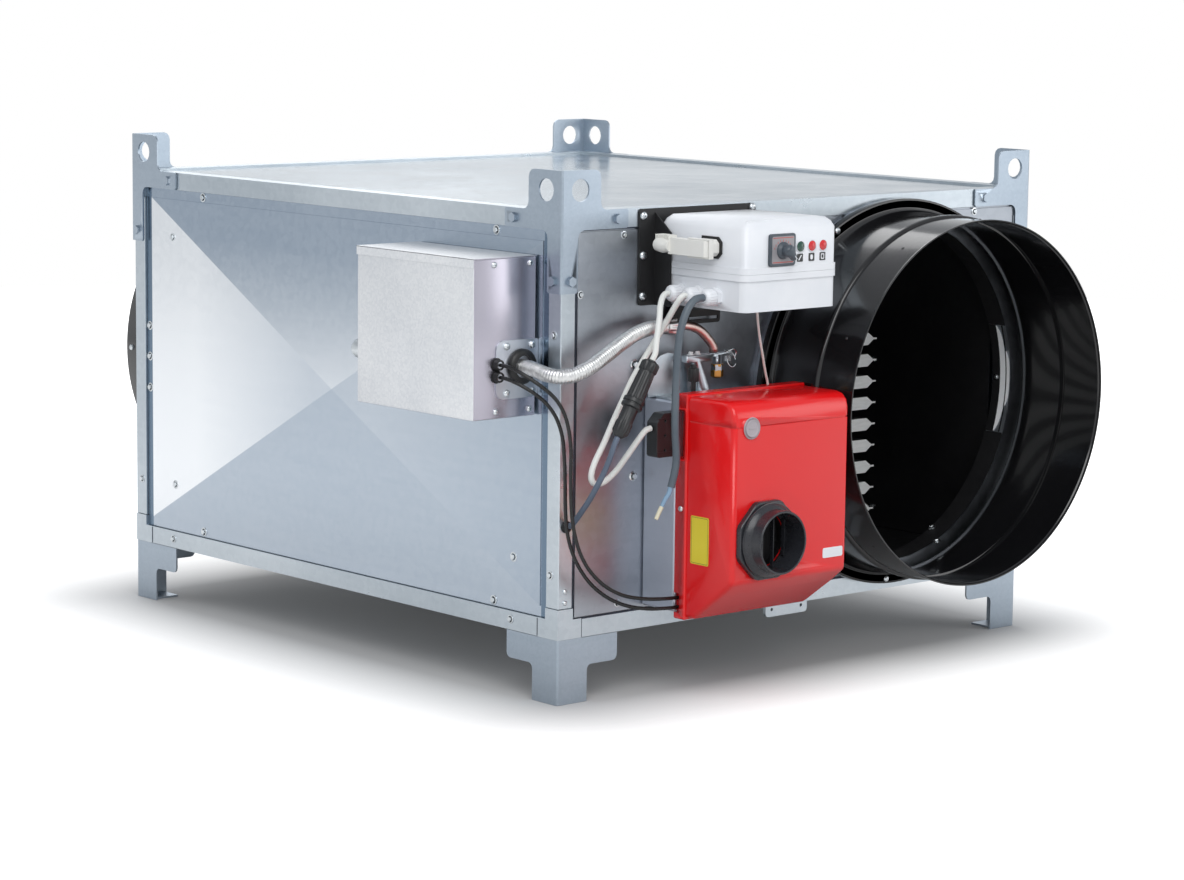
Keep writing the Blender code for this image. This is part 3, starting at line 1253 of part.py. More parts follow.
def make_burner_cover():
    back = -(MOUNT_FORWARD + SEAT_GAP)
    inside = back - COVER_STRIP_DEPTH / 2
    left = COVER_LEFT + COVER_STRIP_PROUD
    right = COVER_RIGHT - COVER_STRIP_PROUD
    body = rounded_sides(slab("SIDE", left, right, cover_profile(inside)), left, right, inside, COVER_SIDE_ROUND)
    strip = block((COVER_LEFT, back - COVER_STRIP_DEPTH, COVER_BOTTOM), (COVER_RIGHT, back, COVER_TOP),
                  COVER_STRIP_EDGE, 1)
    body = fused(body, strip)
    groove_back = back - COVER_STRIP_DEPTH - OVERRUN
    groove_front = SEAM_DEPTH - COVER_FORWARD
    groove_round = COVER_SIDE_ROUND - SEAM_DEPTH
    seam = slab("LEVEL", SEAM_HEIGHT - SEAM_WIDTH / 2, SEAM_HEIGHT + SEAM_WIDTH / 2, rounded([
        (left - OVERRUN, groove_back, 0), (left - OVERRUN, -COVER_FORWARD - OVERRUN, 0),
        (right + OVERRUN, -COVER_FORWARD - OVERRUN, 0), (right + OVERRUN, groove_back, 0),
        (right - SEAM_DEPTH, groove_back, 0), (right - SEAM_DEPTH, groove_front, groove_round),
        (left + SEAM_DEPTH, groove_front, groove_round), (left + SEAM_DEPTH, groove_back, 0)], 3))
    recess = block((COVER_LEFT - OVERRUN, back - RECESS_LENGTH, PIN_PLUG_BOTTOM - RECESS_ROOM),
                   (COVER_LEFT + RECESS_DEPTH, back + OVERRUN, PIN_PLUG_TOP + RECESS_ROOM))
    notch = block((COVER_LEFT - OVERRUN, back - LEAD_NOTCH_LENGTH, LEAD_NOTCH_BOTTOM),
                  (COVER_LEFT + LEAD_NOTCH_DEPTH, back + OVERRUN, LEAD_NOTCH_TOP))
    face = Vector((0, -COVER_FORWARD, 0))
    pocket = drum(face + Vector((INTAKE_X, 0, INTAKE_Z)) + FORWARD * OVERRUN, BACKWARD,
                  INTAKE_TUBE_RADIUS - INTAKE_WALL, INTAKE_POCKET_DEPTH + OVERRUN)
    body = carved(body, seam, recess, notch, pocket)
    button = face + Vector((BUTTON_X, 0, BUTTON_Z))
    bezel = drum(button + BACKWARD * BUTTON_SUNK, FORWARD, BEZEL_RADIUS, BEZEL_PROUD + BUTTON_SUNK)
    well_depth = BUTTON_SUNK + BUTTON_TRAVEL + SLIDE_GAP
    well = drum(button + BACKWARD * well_depth, FORWARD, BUTTON_RADIUS + SLIDE_GAP,
                well_depth + BEZEL_PROUD + OVERRUN)
    kept(carved(fused(body, bezel), well), "burner_cover", "red_enamel")


def make_burner_fittings():
    face = Vector((0, -COVER_FORWARD - SEAT_GAP, 0))
    middle = face + Vector((INTAKE_X, 0, INTAKE_Z))
    base = drum(middle, FORWARD, INTAKE_BASE_RADIUS, INTAKE_BASE_DEPTH, 8, turn=math.radians(22.5))
    profile = [
        (0, INTAKE_REACH), (INTAKE_TUBE_RADIUS, INTAKE_REACH), (INTAKE_TUBE_RADIUS, INTAKE_STEP_DEPTH),
        (INTAKE_STEP_RADIUS, INTAKE_STEP_DEPTH - INTAKE_CONE_DEPTH),
        (INTAKE_STEP_RADIUS, INTAKE_BASE_DEPTH / 2), (0, INTAKE_BASE_DEPTH / 2)]
    tube_body = turned(profile, middle, FORWARD, ROUND_STEPS)
    bore_radius = INTAKE_TUBE_RADIUS - INTAKE_WALL
    bore = drum(middle + BACKWARD * OVERRUN, FORWARD, bore_radius, INTAKE_REACH + 2 * OVERRUN)
    intake = carved(fused(base, tube_body), bore)
    slats = []
    for i in range(INTAKE_SLATS):
        offset = bore_radius * ((2 * i + 1) / INTAKE_SLATS - 1)
        half = math.sqrt(bore_radius ** 2 - offset ** 2) + INTAKE_WALL / 2
        slats.append(block(
            (INTAKE_X + offset - INTAKE_SLAT_WIDTH / 2, middle.y - INTAKE_SLAT_DEPTH, INTAKE_Z - half),
            (INTAKE_X + offset + INTAKE_SLAT_WIDTH / 2, middle.y - SEAT_GAP, INTAKE_Z + half)))
    kept(fused(intake, gathered(slats)), "burner_air_intake", "black_plastic")

    start = Vector((BUTTON_X, -COVER_FORWARD + BUTTON_SUNK, BUTTON_Z))
    reach = BUTTON_SUNK + BUTTON_PROUD
    button = [(0, reach), (BUTTON_RADIUS - BUTTON_EDGE, reach), (BUTTON_RADIUS, reach - BUTTON_EDGE),
              (BUTTON_RADIUS, 0), (0, 0)]
    kept(turned(button, start, FORWARD, ROUND_STEPS), "burner_reset_button", "button_plastic", start)

    right = MOUNT_LEFT - SEAT_GAP
    outline = rounded([
        (PIN_PLUG_LEFT, PIN_PLUG_BOTTOM, PIN_PLUG_ROUND), (right, PIN_PLUG_BOTTOM, 0), (right, PIN_PLUG_TOP, 0),
        (PIN_PLUG_LEFT + PIN_PLUG_CHAMFER, PIN_PLUG_TOP, PIN_PLUG_ROUND),
        (PIN_PLUG_LEFT, PIN_PLUG_TOP - PIN_PLUG_CHAMFER, PIN_PLUG_ROUND)], 2)
    plug = slab("FRONT", -PIN_PLUG_FRONT, -PIN_PLUG_BACK, outline)
    screws = []
    for i in range(PIN_PLUG_SCREWS):
        height = PIN_PLUG_BOTTOM + (PIN_PLUG_TOP - PIN_PLUG_BOTTOM) * (i + 0.5) / PIN_PLUG_SCREWS
        place = (right - PIN_PLUG_SCREW_INSET, -PIN_PLUG_FRONT - OVERRUN, height)
        screws.append(drum(place, BACKWARD, PIN_PLUG_SCREW_RADIUS, PIN_PLUG_SCREW_DEPTH + OVERRUN, SMALL_STEPS // 2))
    kept(carved(plug, gathered(screws)), "burner_plug", "black_plastic")


# Control box
def make_control_bracket():
    front = -SEAT_GAP
    back_front = front - BRACKET_SHEET
    plate = slab("FRONT", back_front, front,
                 oblong(BACKPLATE_LEFT, BACKPLATE_BOTTOM, BACKPLATE_RIGHT, BACKPLATE_TOP, LIP_ROUND, 2))
    cheek_outline = [
        (back_front / 2, BACKPLATE_BOTTOM), (-CHEEK_REACH, BACKPLATE_BOTTOM), (-CHEEK_REACH, CHEEK_SHOULDER),
        (back_front / 2, CHEEK_TOP)]
    left_high = BOX_LEFT - BOX_RIB_PROUD - SEAT_GAP
    right_low = BOX_RIGHT + BOX_RIB_PROUD + SEAT_GAP
    left = slab("SIDE", left_high - BRACKET_SHEET, left_high, cheek_outline)
    right = slab("SIDE", right_low, right_low + BRACKET_SHEET, cheek_outline)
    shelf_top = BOX_BOTTOM - SEAT_GAP
    shelf = block((left_high - BRACKET_SHEET, -SHELF_REACH, shelf_top - BRACKET_SHEET),
                  (right_low + BRACKET_SHEET, back_front / 2, shelf_top))
    lip = slab("FRONT", -LIP_FORWARD, BRACKET_SHEET - LIP_FORWARD,
               rounded([(LIP_LEFT, LIP_BOTTOM, LIP_ROUND), (LIP_RIGHT, LIP_BOTTOM, LIP_ROUND),
                        (LIP_RIGHT, shelf_top - BRACKET_SHEET / 2, 0), (LIP_LEFT, shelf_top - BRACKET_SHEET / 2, 0)]),
               [oblong(LIP_RIGHT - LIP_SLOT_LENGTH - LIP_ROUND, LIP_SLOT_LOW, LIP_RIGHT - LIP_ROUND,
                       LIP_SLOT_LOW + LIP_SLOT_HEIGHT)])
    kept(fused(plate, left, right, shelf, lip), "control_bracket", "black_enamel")


def box_outline(grow):
    return oblong(BOX_LEFT - grow, -BOX_FRONT - grow, BOX_RIGHT + grow, -BOX_BACK + grow, BOX_CORNER + grow, 3)


def top_chamfered(piece, height, size):
    cage = bmesh.new()
    cage.from_mesh(piece.data)
    bmesh.ops.dissolve_limit(cage, angle_limit=math.radians(1), verts=cage.verts, edges=cage.edges)
    rim = [edge for edge in cage.edges if all(abs(vert.co.z - height) < WELD for vert in edge.verts)]
    bmesh.ops.bevel(cage, geom=rim, offset=size, segments=2, profile=LID_BULGE_SHARE, affect="EDGES")
    bmesh.ops.triangulate(cage, faces=cage.faces)
    cage.to_mesh(piece.data)
    cage.free()
    return piece


def make_control_box():
    base = slab("LEVEL", BOX_BOTTOM, BOX_SPLIT - WELD, box_outline(0))
    rib = slab("LEVEL", BOX_SPLIT - BOX_RIB_HEIGHT, BOX_SPLIT, box_outline(BOX_RIB_PROUD))
    glands = []
    for back in GLAND_BACKS:
        root = Vector((BOX_LEFT, -back, GLAND_HEIGHT))
        hexagon = drum(root + RIGHTWARD * OVERRUN, LEFTWARD, GLAND_HEX_RADIUS, GLAND_HEX_LENGTH + OVERRUN, BOLT_STEPS)
        body = turned([(0, GLAND_LENGTH), (GLAND_MOUTH_RADIUS, GLAND_LENGTH), (GLAND_BODY_RADIUS, GLAND_BODY_LENGTH),
                       (GLAND_BODY_RADIUS, 0), (0, 0)], root, LEFTWARD, SMALL_STEPS)
        glands.append(fused(hexagon, body))
    kept(fused(base, rib, gathered(glands)), "control_box", "white_plastic")

    low = BOX_SPLIT + SEAT_GAP
    lid = top_chamfered(slab("LEVEL", low + WELD, BOX_TOP, box_outline(0)), BOX_TOP, LID_CHAMFER)
    rib = slab("LEVEL", low, low + BOX_RIB_HEIGHT, box_outline(BOX_RIB_PROUD))
    kept(fused(lid, rib), "control_box_lid", "white_plastic")


def make_switches():
    face = -BOX_FRONT - SEAT_GAP
    plate = slab("FRONT", face - SWITCH_THICK, face,
                 oblong(SWITCH_LEFT, SWITCH_BOTTOM, SWITCH_RIGHT, SWITCH_BOTTOM + SWITCH_HEIGHT, SWITCH_ROUND, 2))
    kept(plate, "switch_plate", "grey_plastic")

    foot = Vector((KNOB_X, face - SWITCH_THICK - SEAT_GAP, KNOB_Z))
    hub = turned([(0, KNOB_REACH), (KNOB_HUB_RADIUS - KNOB_EDGE, KNOB_REACH),
                  (KNOB_HUB_RADIUS, KNOB_REACH - KNOB_EDGE), (KNOB_HUB_RADIUS, KNOB_DISC_THICK),
                  (KNOB_DISC_RADIUS, KNOB_DISC_THICK - KNOB_EDGE), (KNOB_DISC_RADIUS, 0), (0, 0)],
                 foot, FORWARD, ROUND_STEPS)
    tip = Vector((KNOB_X, KNOB_Z)) + KNOB_WING_LENGTH * Vector((math.cos(KNOB_REST_ANGLE), math.sin(KNOB_REST_ANGLE)))
    across = Vector((-math.sin(KNOB_REST_ANGLE), math.cos(KNOB_REST_ANGLE)))
    root = Vector((KNOB_X, KNOB_Z))
    shoulder = KNOB_HUB_RADIUS - KNOB_EDGE
    wing_outline = [root - across * shoulder, tip - across * KNOB_WING_TIP_RADIUS,
                    tip + across * KNOB_WING_TIP_RADIUS, root + across * shoulder]
    wing = slab("FRONT", foot.y - KNOB_REACH + KNOB_EDGE, foot.y - KNOB_WING_INSET, [tuple(p) for p in wing_outline])
    kept(fused(hub, wing), "selector_knob", "grey_plastic", foot)

    for name, space in LAMP_SPACES:
        lens = [(0, LAMP_PROUD), (LAMP_RADIUS - 2 * LAMP_RIM, LAMP_PROUD - LAMP_RIM / 4),
                (LAMP_RADIUS - LAMP_RIM, LAMP_PROUD - LAMP_RIM), (LAMP_RADIUS, LAMP_RIM), (LAMP_RADIUS, 0), (0, 0)]
        look = "green_lamp" if name == "green" else "red_lamp"
        place = (SWITCH_RIGHT + space, face, LAMP_HEIGHT)
        kept(turned(lens, place, FORWARD, SMALL_STEPS), "lamp_" + name, look)


def make_thermostat_connector():
    wall = BOX_LEFT - SEAT_GAP
    gasket = rounded([
        (-SOCKET_FRONT + SOCKET_CHAMFER, SOCKET_BOTTOM, 0), (-SOCKET_BACK, SOCKET_BOTTOM, 0),
        (-SOCKET_BACK, SOCKET_TOP, 0), (-SOCKET_FRONT + SOCKET_CHAMFER, SOCKET_TOP, 0),
        (-SOCKET_FRONT, SOCKET_TOP - SOCKET_CHAMFER, 0), (-SOCKET_FRONT, SOCKET_BOTTOM + SOCKET_CHAMFER, 0)])
    base = slab("SIDE", wall - SOCKET_GASKET, wall, gasket)
    step = SOCKET_SHOULDER
    housing = block((wall - SOCKET_REACH, -SOCKET_FRONT + step, SOCKET_BOTTOM + step),
                    (wall - SOCKET_GASKET / 2, -SOCKET_BACK - step, SOCKET_TOP - step), SEAM_WIDTH, 1)
    kept(fused(base, housing), "thermostat_socket", "beige_plastic")

    outer = wall - SOCKET_REACH - SEAT_GAP
    inner = outer - JACK_THICK
    outline = rounded([
        (inner + JACK_CHAMFER, -JACK_FRONT, 0), (outer, -JACK_FRONT, 0), (outer, -JACK_BACK, 0),
        (inner, -JACK_BACK, 0), (inner, -JACK_FRONT + JACK_CHAMFER, 0)])
    body = slab("LEVEL", JACK_BOTTOM, JACK_TOP, outline)
    middle_z = (JACK_BOTTOM + JACK_TOP) / 2
    middle_x = (inner + outer) / 2
    nut = turned([(0, JACK_NUT_LENGTH), (JACK_NUT_WAIST, JACK_NUT_LENGTH), (JACK_NUT_RADIUS, JACK_NUT_LENGTH / 2),
                  (JACK_NUT_WAIST, 0), (JACK_NUT_WAIST, -JACK_CHAMFER), (0, -JACK_CHAMFER)],
                 (middle_x - JACK_NUT_RADIUS + JACK_THICK / 2, -JACK_BACK, middle_z), BACKWARD, SMALL_STEPS)
    kept(fused(body, nut), "thermostat_plug", "white_plastic", (middle_x, -(JACK_FRONT + JACK_BACK) / 2, middle_z))

    pivot = Vector((middle_x, -CLIP_PIVOT_BACK, 0))
    half = CLIP_WIDTH / 2
    low = JACK_BOTTOM - SEAT_GAP - CLIP_SHEET
    high = JACK_TOP + SEAT_GAP
    far = -CLIP_PIVOT_BACK - CLIP_REACH - CLIP_SHEET
    left = pivot.x - half
    right = pivot.x + half
    near = half - CLIP_PIVOT_BACK
    ends = half * CLIP_ROUND_SHARE
    leg = rounded([(left, far, 0), (right, far, 0), (right, near, ends), (left, near, ends)], 3)
    legs = gathered([slab("LEVEL", low, low + CLIP_SHEET, leg), slab("LEVEL", high, high + CLIP_SHEET, leg)])
    bridge = block((left, far, low + CLIP_SHEET / 2), (right, far + CLIP_SHEET, high + CLIP_SHEET / 2))
    kept(fused(bridge, legs), "locking_clip", "beige_plastic", (pivot.x, pivot.y, middle_z))


# Thermostat box on the left side
def make_side_box():
    shell = block((-SIDE_BOX_REACH, SIDE_BOX_FRONT, SIDE_BOX_BOTTOM), (0, SIDE_BOX_REAR, SIDE_BOX_TOP), SIDE_BOX_EDGE, 2)
    dome = [(0, RESET_CAP_PROUD)]
    for share in DOME_SHARES:
        dome.append((RESET_CAP_RADIUS * share, RESET_CAP_PROUD * math.sqrt(1 - share ** 2)))
    dome += [(RESET_CAP_RADIUS, RESET_CAP_PROUD / 4), (RESET_CAP_RADIUS, -OVERRUN), (0, -OVERRUN)]
    cap = turned(dome, (-RESET_CAP_REACH, SIDE_BOX_REAR, RESET_CAP_HEIGHT), BACKWARD, SMALL_STEPS)
    kept(fused(shell, cap), "thermostat_box", "galvanised")

    back = SIDE_BOX_FRONT - SEAT_GAP
    front = back - GLAND_PLATE_THICK
    right = STRIP_DROP - PANEL_STEP - SLIDE_GAP
    plate = slab("FRONT", front, back, rounded([
        (-GLAND_PLATE_REACH, GLAND_PLATE_BOTTOM, GLAND_PLATE_ROUND), (right, GLAND_PLATE_BOTTOM, SIDE_BOX_EDGE),
        (right, GLAND_PLATE_TOP, SIDE_BOX_EDGE), (-GLAND_PLATE_REACH, GLAND_PLATE_TOP, GLAND_PLATE_ROUND)]))
    tip_radius = SMALL_GLAND_RADIUS * SMALL_GLAND_TIP_SHARE
    glands = []
    for rise in SMALL_GLAND_RISES:
        root = (-SMALL_GLAND_REACH, back - GLAND_PLATE_THICK / 2, GLAND_PLATE_BOTTOM + rise)
        glands.append(drum(root, FORWARD, SMALL_GLAND_RADIUS, SMALL_GLAND_LENGTH + GLAND_PLATE_THICK / 2,
                           SMALL_STEPS, tip_radius))
    kept(fused(plate, gathered(glands)), "gland_plate", "galvanised")

    ring = [(GROMMET_HOLE_RADIUS, GROMMET_THICK), (GROMMET_RADIUS - GROMMET_THICK / 2, GROMMET_THICK),
            (GROMMET_RADIUS, GROMMET_THICK / 2), (GROMMET_RADIUS, 0), (GROMMET_HOLE_RADIUS, 0)]
    place = (-GROMMET_REACH, front - SEAT_GAP, GROMMET_HEIGHT)
    kept(turned(ring, place, FORWARD, ROUND_STEPS, closed=True), "hose_grommet", "rubber")


# Combustion chamber, heat exchanger and flue
def pocket_outline(middle):
    tip = POCKET_TIP
    half = POCKET_THICK / 2
    lip = POCKET_LIP_THICK / 2
    shoulder = tip - POCKET_LIP - POCKET_TAPER
    start = HEADER_LEFT + HEADER_WIDTH / 2
    return [(start, middle - half), (shoulder, middle - half), (tip - POCKET_LIP, middle - lip), (tip, middle - lip),
            (tip, middle + lip), (tip - POCKET_LIP, middle + lip), (shoulder, middle + half), (start, middle + half)]


def make_heat_side():
    start = Vector((BLAST_TUBE_X, RAIL + SEAT_GAP, BLAST_TUBE_Z))
    length = CHAMBER_END - start.y
    body = [(0, length), (CHAMBER_RADIUS - CHAMBER_EDGE, length), (CHAMBER_RADIUS, length - CHAMBER_EDGE),
            (CHAMBER_RADIUS, 0), (0, 0)]
    chamber = turned(body, start, BACKWARD, ROUND_STEPS)
    well = drum(start + FORWARD * OVERRUN, BACKWARD, BLAST_TUBE_RADIUS + SLIDE_GAP,
                BLAST_TUBE_INSIDE - start.y + SLIDE_GAP + OVERRUN)
    kept(carved(chamber, well), "combustion_chamber", "heated_steel")

    header = block((HEADER_LEFT, HEADER_FRONT, HEADER_BOTTOM), (HEADER_LEFT + HEADER_WIDTH, SMOKE_BOX_BACK, HEADER_TOP))
    smoke_box = block((HEADER_LEFT + HEADER_WIDTH / 2, SMOKE_BOX_FRONT, HEADER_BOTTOM - OVERRUN),
                      (SMOKE_BOX_RIGHT, SMOKE_BOX_BACK - OVERRUN, SMOKE_BOX_TOP))
    neck = block((BLAST_TUBE_X + CHAMBER_RADIUS - NECK_SINK, NECK_FRONT, BLAST_TUBE_Z - NECK_HALF_HEIGHT),
                 (HEADER_LEFT + HEADER_WIDTH / 2, NECK_FRONT + NECK_LENGTH, BLAST_TUBE_Z + NECK_HALF_HEIGHT))
    leg = block((SMOKE_LEG_LEFT, SMOKE_BOX_FRONT + SMOKE_LEG_INSET, RAIL + SEAT_GAP),
                (SMOKE_LEG_LEFT + SMOKE_LEG_WIDTH, SMOKE_BOX_BACK - SMOKE_LEG_INSET, HEADER_BOTTOM + OVERRUN))
    pockets = [slab("FRONT", POCKET_FRONT, SMOKE_BOX_FRONT + OVERRUN, pocket_outline(POCKET_TOP - i * POCKET_PITCH))
               for i in range(POCKET_COUNT)]
    clearance = drum(start + FORWARD * OVERRUN, BACKWARD, CHAMBER_RADIUS + SEAT_GAP, length + 2 * OVERRUN)
    whole = fused(header, smoke_box, neck, leg, gathered(pockets))
    kept(carved(whole, clearance), "heat_exchanger", "heated_steel")

    start = Vector((FLUE_X, SMOKE_BOX_BACK - OVERRUN + SEAT_GAP, FLUE_Z))
    reach = CASING_LENGTH + FLUE_STUB - start.y
    bead = reach - FLUE_BEAD_INSET
    profile = [(FLUE_RADIUS, reach), (FLUE_RADIUS, bead + FLUE_BEAD_HALF_WIDTH), (FLUE_RADIUS + FLUE_BEAD_PROUD, bead),
               (FLUE_RADIUS, bead - FLUE_BEAD_HALF_WIDTH), (FLUE_RADIUS, 0)]
    kept(turned(profile, start, BACKWARD, FLUE_STEPS, FLUE_WALL), "flue_spigot", "galvanised")


# Inlet fan
def blade_points(turn):
    """Grid of points on one blade: twisted, swept and cambered, wider and flatter towards its tip."""
    rows = []
    for i in range(BLADE_SPANS + 1):
        share = i / BLADE_SPANS
        radius = BLADE_ROOT_RADIUS + (FAN_TIP_RADIUS - BLADE_ROOT_RADIUS) * share
        chord = BLADE_ROOT_CHORD + (BLADE_TIP_CHORD - BLADE_ROOT_CHORD) * math.sin(share * math.pi / 2)
        pitch = BLADE_ROOT_PITCH + (BLADE_TIP_PITCH - BLADE_ROOT_PITCH) * share
        row = []
        for j in range(BLADE_CHORDS + 1):
            across = j / BLADE_CHORDS - 0.5
            camber = chord * BLADE_CAMBER_SHARE * (1 - (2 * across) ** 2)
            around = chord * across * math.cos(pitch) - camber * math.sin(pitch)
            depth = chord * across * math.sin(pitch) + camber * math.cos(pitch)
            angle = turn + BLADE_SWEEP * share ** 2 + around / radius
            row.append((radius * math.cos(angle), depth, radius * math.sin(angle)))
        rows.append(row)
    return rows


def blade(centre, turn):
    rows = blade_points(turn)
    width = len(rows[0])
    verts = [Vector(point) + centre for row in rows for point in row]
    faces = []
    for i in range(len(rows) - 1):
        for j in range(width - 1):
            faces.append((i * width + j, i * width + j + 1, (i + 1) * width + j + 1, (i + 1) * width + j))
    mesh = bpy.data.meshes.new("blade")
    mesh.from_pydata(verts, [], faces)
    piece = linked("blade", mesh)
    shell = piece.modifiers.new("wall", "SOLIDIFY")
    shell.thickness = BLADE_THICK
    shell.offset = 0
    return baked(piece)


def make_fan_ring():
    face = Vector((FAN_X, CASING_LENGTH, FAN_Z))
    profile = [(FAN_RING_RADIUS - FAN_RING_ROLL, FAN_RING_DEPTH - FAN_RING_ROLL / 2),
               (FAN_RING_RADIUS - FAN_RING_ROLL / 2, FAN_RING_DEPTH),
               (FAN_RING_RADIUS, FAN_RING_DEPTH - FAN_RING_ROLL / 2), (FAN_RING_RADIUS, SEAT_GAP + FAN_RING_WALL),
               (FAN_FLANGE_RADIUS, SEAT_GAP + FAN_RING_WALL)]
    kept(turned(profile, face, BACKWARD, DUCT_STEPS, FAN_RING_WALL), "fan_inlet_ring", "black_enamel")


def make_fan_guard():
    centre = Vector((FAN_X, FAN_PLANE + GUARD_DEPTH, FAN_Z))
    inner = FAN_RING_RADIUS - FAN_RING_WALL
    plate = drum(centre, BACKWARD, GUARD_PLATE_RADIUS, GUARD_PLATE_THICK)
    arms = []
    for i in range(GUARD_ARMS // 2):
        arm = cube_cage((SLIDE_GAP - inner, 0, -GUARD_ARM_WIDTH / 2),
                        (inner - SLIDE_GAP, GUARD_PLATE_THICK - WELD, GUARD_ARM_WIDTH / 2))
        arm.transform(Matrix.Translation(centre) @ Matrix.Rotation(2 * math.pi * i / GUARD_ARMS, 4, "Y"))
        arms.append(from_cage(arm))
    guard = fused(plate, *arms)
    rings = []
    outermost = inner - GUARD_OUTER_INSET
    for i in range(1, GUARD_RINGS + 1):
        radius = GUARD_PLATE_RADIUS + (outermost - GUARD_PLATE_RADIUS) * i / GUARD_RINGS
        section = [(radius - GUARD_WIRE, 0), (radius - GUARD_WIRE, 2 * GUARD_WIRE), (radius + GUARD_WIRE, 2 * GUARD_WIRE),
                   (radius + GUARD_WIRE, 0)]
        rings.append(turned(section, centre + BACKWARD * GUARD_PLATE_THICK / 2, BACKWARD,
                            GUARD_STEPS, closed=True))
    kept(fused(guard, gathered(rings)), "fan_guard", "black_enamel")


def make_fan_drive():
    face = Vector((FAN_X, FAN_PLANE, FAN_Z))
    hub_start = face + FORWARD * HUB_INSIDE
    length = HUB_INSIDE + HUB_OUTSIDE
    hub = turned([(0, length), (HUB_RADIUS, length), (HUB_RADIUS, HUB_EDGE), (HUB_RADIUS - HUB_EDGE, 0), (0, 0)],
                 hub_start, BACKWARD, ROUND_STEPS)
    bore = drum(hub_start + FORWARD * OVERRUN, BACKWARD, SHAFT_RADIUS + SLIDE_GAP, length + 2 * OVERRUN)
    blades = [blade(face, 2 * math.pi * i / BLADE_COUNT) for i in range(BLADE_COUNT)]
    kept(carved(fused(hub, *blades), bore), "fan_impeller", "black_enamel", face)

    back = GUARD_DEPTH - SEAT_GAP
    profile = [
        (0, back), (MOTOR_RADIUS - MOTOR_EDGE, back), (MOTOR_RADIUS, back - MOTOR_EDGE),
        (MOTOR_RADIUS, MOTOR_FRONT + MOTOR_EDGE), (MOTOR_RADIUS - MOTOR_EDGE, MOTOR_FRONT),
        (SHAFT_RADIUS, MOTOR_FRONT), (SHAFT_RADIUS, -HUB_INSIDE), (0, -HUB_INSIDE)]
    motor = turned(profile, face, BACKWARD, ROUND_STEPS)
    top = MOTOR_RADIUS + TERMINAL_BOX_RISE
    terminal = block(
        (FAN_X - TERMINAL_BOX_WIDTH / 2, FAN_PLANE + back - TERMINAL_BOX_INSET - TERMINAL_BOX_LENGTH, FAN_Z),
        (FAN_X + TERMINAL_BOX_WIDTH / 2, FAN_PLANE + back - TERMINAL_BOX_INSET, FAN_Z + top), BUTTON_EDGE, 1)
    kept(fused(motor, terminal), "fan_motor", "black_enamel")


# Hose, pipe and their stand
def make_hose():
    root = (-GROMMET_REACH, SIDE_BOX_FRONT - HOSE_SETBACK, GROMMET_HEIGHT)
    crown = (STAND_LEFT + HOSE_END_INSET, -PIPE_BACK, MOUNT_TOP + HOSE_END_RISE)
    line = smooth_line(route_points(HOSE_ROUTE, root, crown), HOSE_PITCH / 2)
    low_share = (HOSE_RADIUS - HOSE_RIB) / HOSE_RADIUS
    radii = [1 if i % 2 else low_share for i in range(len(line))]
    hose = tube(line, HOSE_RADIUS, 2, radii)
    inner = smooth_line(route_points(HOSE_ROUTE, root, crown), HOSE_BORE_SPACING)
    before = inner[0] + (inner[0] - inner[1]).normalized() * OVERRUN
    beyond = inner[-1] + (inner[-1] - inner[-2]).normalized() * OVERRUN
    bore = tube([before, *inner, beyond], HOSE_BORE_RADIUS, 1)
    kept(carved(hose, bore), "foil_hose", "foil")
    foot = (CLAMP_RIGHT + PIPE_FOOT_INSET, -PIPE_BACK, CLAMP_BOTTOM + CLAMP_HEIGHT + PIPE_FOOT_GAP)
    arch_start = (crown[0] + SEAT_GAP, crown[1], crown[2])
    arch = smooth_line(route_points(ARCH_PIPE_ROUTE, arch_start, foot), PIPE_RADIUS)
    kept(tube(arch, PIPE_RADIUS, 3), "arch_pipe", "copper_pipe")


